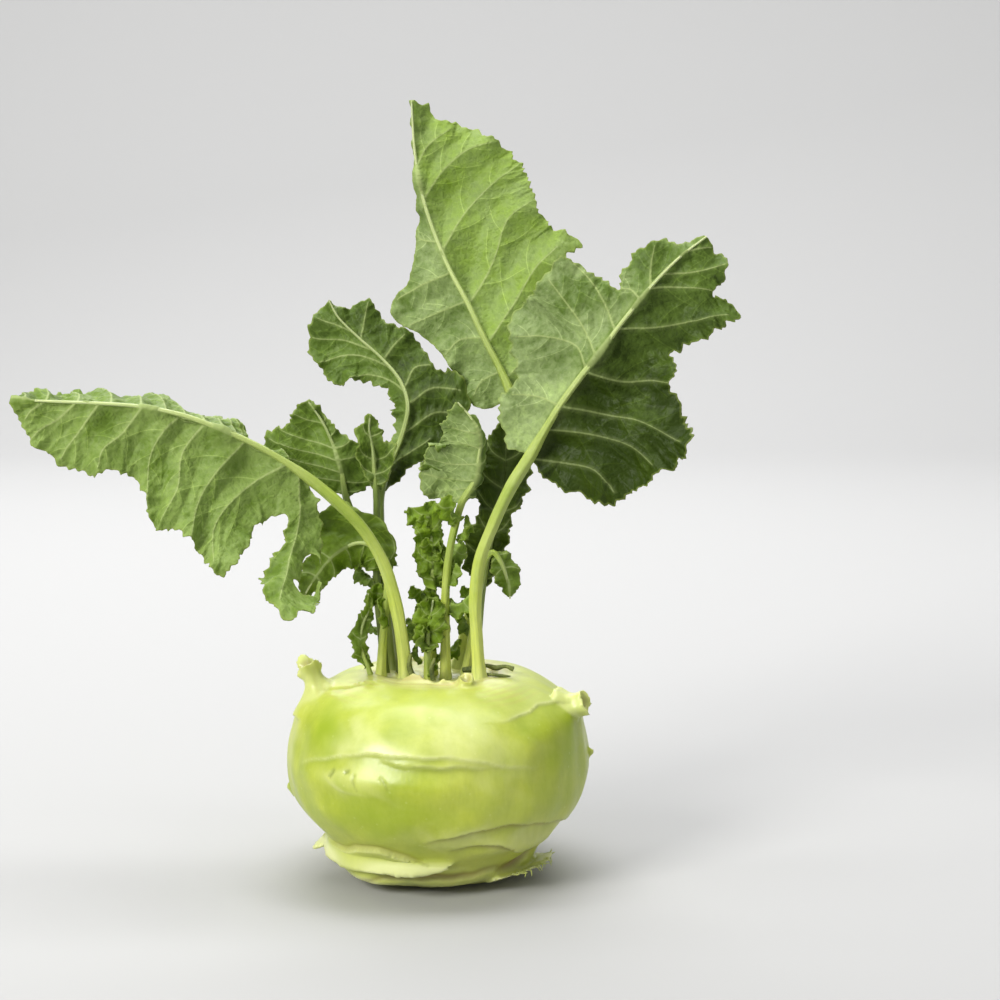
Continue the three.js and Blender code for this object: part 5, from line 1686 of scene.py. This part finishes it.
# %% Twig and fibres
def sweep(name, paths, material, sides=10, rises=(0.3, 0.8)):
    """Swept pieces along paths of points with a thickness each, joined in one mesh.

    `rises` is where their two ends stand between a stalk's crown and the foot of its blade.
    """
    lines = [smooth_line([[*point, t] for point, t in zip(path, thickness)], 6)
             for path, thickness in paths]
    edges, count = [], 0
    for line in lines:
        edges += [(count + i, count + i + 1) for i in range(len(line) - 1)]
        count += len(line)
    points = np.vstack(lines)
    start = new_mesh("paths", points[:, :3], edges=edges)
    store(start, thick=points[:, 3] * MM,
          rise=np.concatenate([np.linspace(*rises, len(line)) for line in lines]))
    mesh = grow(start, RIBBED, name, {"Sides": sides, "Ribs": 4.0, "Rib depth": 0.15, "Material": material})
    face_outward(mesh)
    add_piece(name, mesh)


sweep("dried_twig", [
    ([(8, -3, 66), (12, -4, 66.7), (15.5, -4.4, 67.7), (18.5, -5, 67.1), (21.5, -5, 67.6),
      (24, -5.5, 66.8)],
     (0.8, 1.0, 0.6, 0.85, 0.55, 0.8)),
    ([(13, -7, 65.6), (17, -8, 65.6), (20.5, -7.6, 65.1), (23, -8.4, 65.2)], (0.6, 0.45, 0.55, 0.2)),
    ([(-7, -12, 65.2), (-8.5, -12, 69), (-8, -11.5, 73)], (1.0, 0.8, 0.5)),
    ([(-1, -14, 65), (-1.5, -14, 69), (-0.5, -13.5, 72)], (0.8, 0.7, 0.4)),
], DRY)


def torn_edge(turns, radius, height, count, seed):
    """Fibres that stick out of a torn edge."""
    rng = np.random.default_rng(seed)
    paths = []
    for turn in np.linspace(*turns, count):
        reach, drop = rng.uniform(0.6, 3.2), rng.uniform(-2.2, 1.0)
        stops = [(radius - 2.5, height - 0.8), (radius + reach * 0.4, height),
                 (radius + reach, height + drop)]
        swing = rng.uniform(-3, 3)
        path = [turned(turn + swing * i, np.array(r), z) for i, (r, z) in enumerate(stops)]
        paths.append((path, (0.45, 0.28, 0.08)))
    return paths


sweep("torn_fibres", torn_edge(turns=(46, 86), radius=35.6, height=6.4, count=14, seed=8),
      STALK, sides=6, rises=(0.0, 0.1))

# %% [markdown]
# ## Floor, light and camera
#
# A pale floor curves up into a backdrop. The key light stands high on the left in front, and a weak
# fill on the right. Another light washes the backdrop, one more shines on the leaves from behind, and
# a pale sky keeps the shadows soft.

# %% Stage
# Lights: (place, target, size, power, colour).
LIGHTS = {
    "key": ((-0.8, -0.9, 0.74), (0, 0, 0.09), 0.5, 17, (1, 0.99, 0.95)),
    "fill": ((1.0, -0.7, 0.5), (0, 0, 0.1), 1.0, 0.5, (0.97, 0.99, 1)),
    "wall wash": ((0, 0.3, 1.9), (0, 1.6, 0.7), 1.6, 50, (1, 1, 1)),
    "back": ((-0.2, 0.9, 0.9), (0, 0, 0.14), 0.9, 7, (1, 1, 1)),
}
SKY_STRENGTH = 0.36


def backdrop(front=-1.6, bend_at=1.1, bend=0.5, top=2.6, half_width=3):
    """A floor that curves up behind the object."""
    corners = np.linspace(0, math.pi / 2, 16)
    line = [(front, 0)]
    line += [(bend_at + bend * math.sin(a), bend - bend * math.cos(a)) for a in corners]
    line += [(bend_at + bend, top)]
    points = [(x, y, z) for x in (-half_width, half_width) for y, z in line]
    faces = [(i, i + len(line), i + len(line) + 1, i + 1) for i in range(len(line) - 1)]
    mesh = bpy.data.meshes.new("floor")
    mesh.from_pydata(points, [], faces)
    mesh.shade_smooth()
    material, tree = new_material("Pale floor")
    pale_grey = srgb(174, 174, 174)
    finish_surface(tree, add(tree, "ShaderNodeBsdfPrincipled", {"Base Color": pale_grey, "Roughness": 0.9}))
    mesh.materials.append(material)
    new_object("floor", mesh)


def soft_light(name, place, target, size, power, colour):
    """A square light that faces its target."""
    data = bpy.data.lights.new(name, "AREA")
    data.size, data.energy, data.color = size, power, colour
    light = new_object(name, data)
    light.location = place
    light.rotation_euler = (Vector(target) - Vector(place)).to_track_quat("-Z", "Y").to_euler()


backdrop()
for name, light in LIGHTS.items():
    soft_light(name, *light)
world = bpy.data.worlds.new("sky")
world.use_nodes = True
sky = world.node_tree.nodes["Background"].inputs
sky["Color"].default_value = (1, 1, 1, 1)
sky["Strength"].default_value = SKY_STRENGTH
bpy.context.scene.world = world
bpy.context.scene.view_settings.view_transform = "Standard"

eye = bpy.data.cameras.new("camera")
eye.lens, eye.sensor_width = 85, 36
eye.clip_start, eye.clip_end = 0.01, 20
camera = new_object("camera", eye)
camera.location = (0.01975, -0.7328, 0.2227)
camera.rotation_euler = (math.radians(82), 0, 0)
bpy.context.scene.camera = camera
print("lights:", list(LIGHTS))

# %% The last line
bpy.context.view_layer.update()
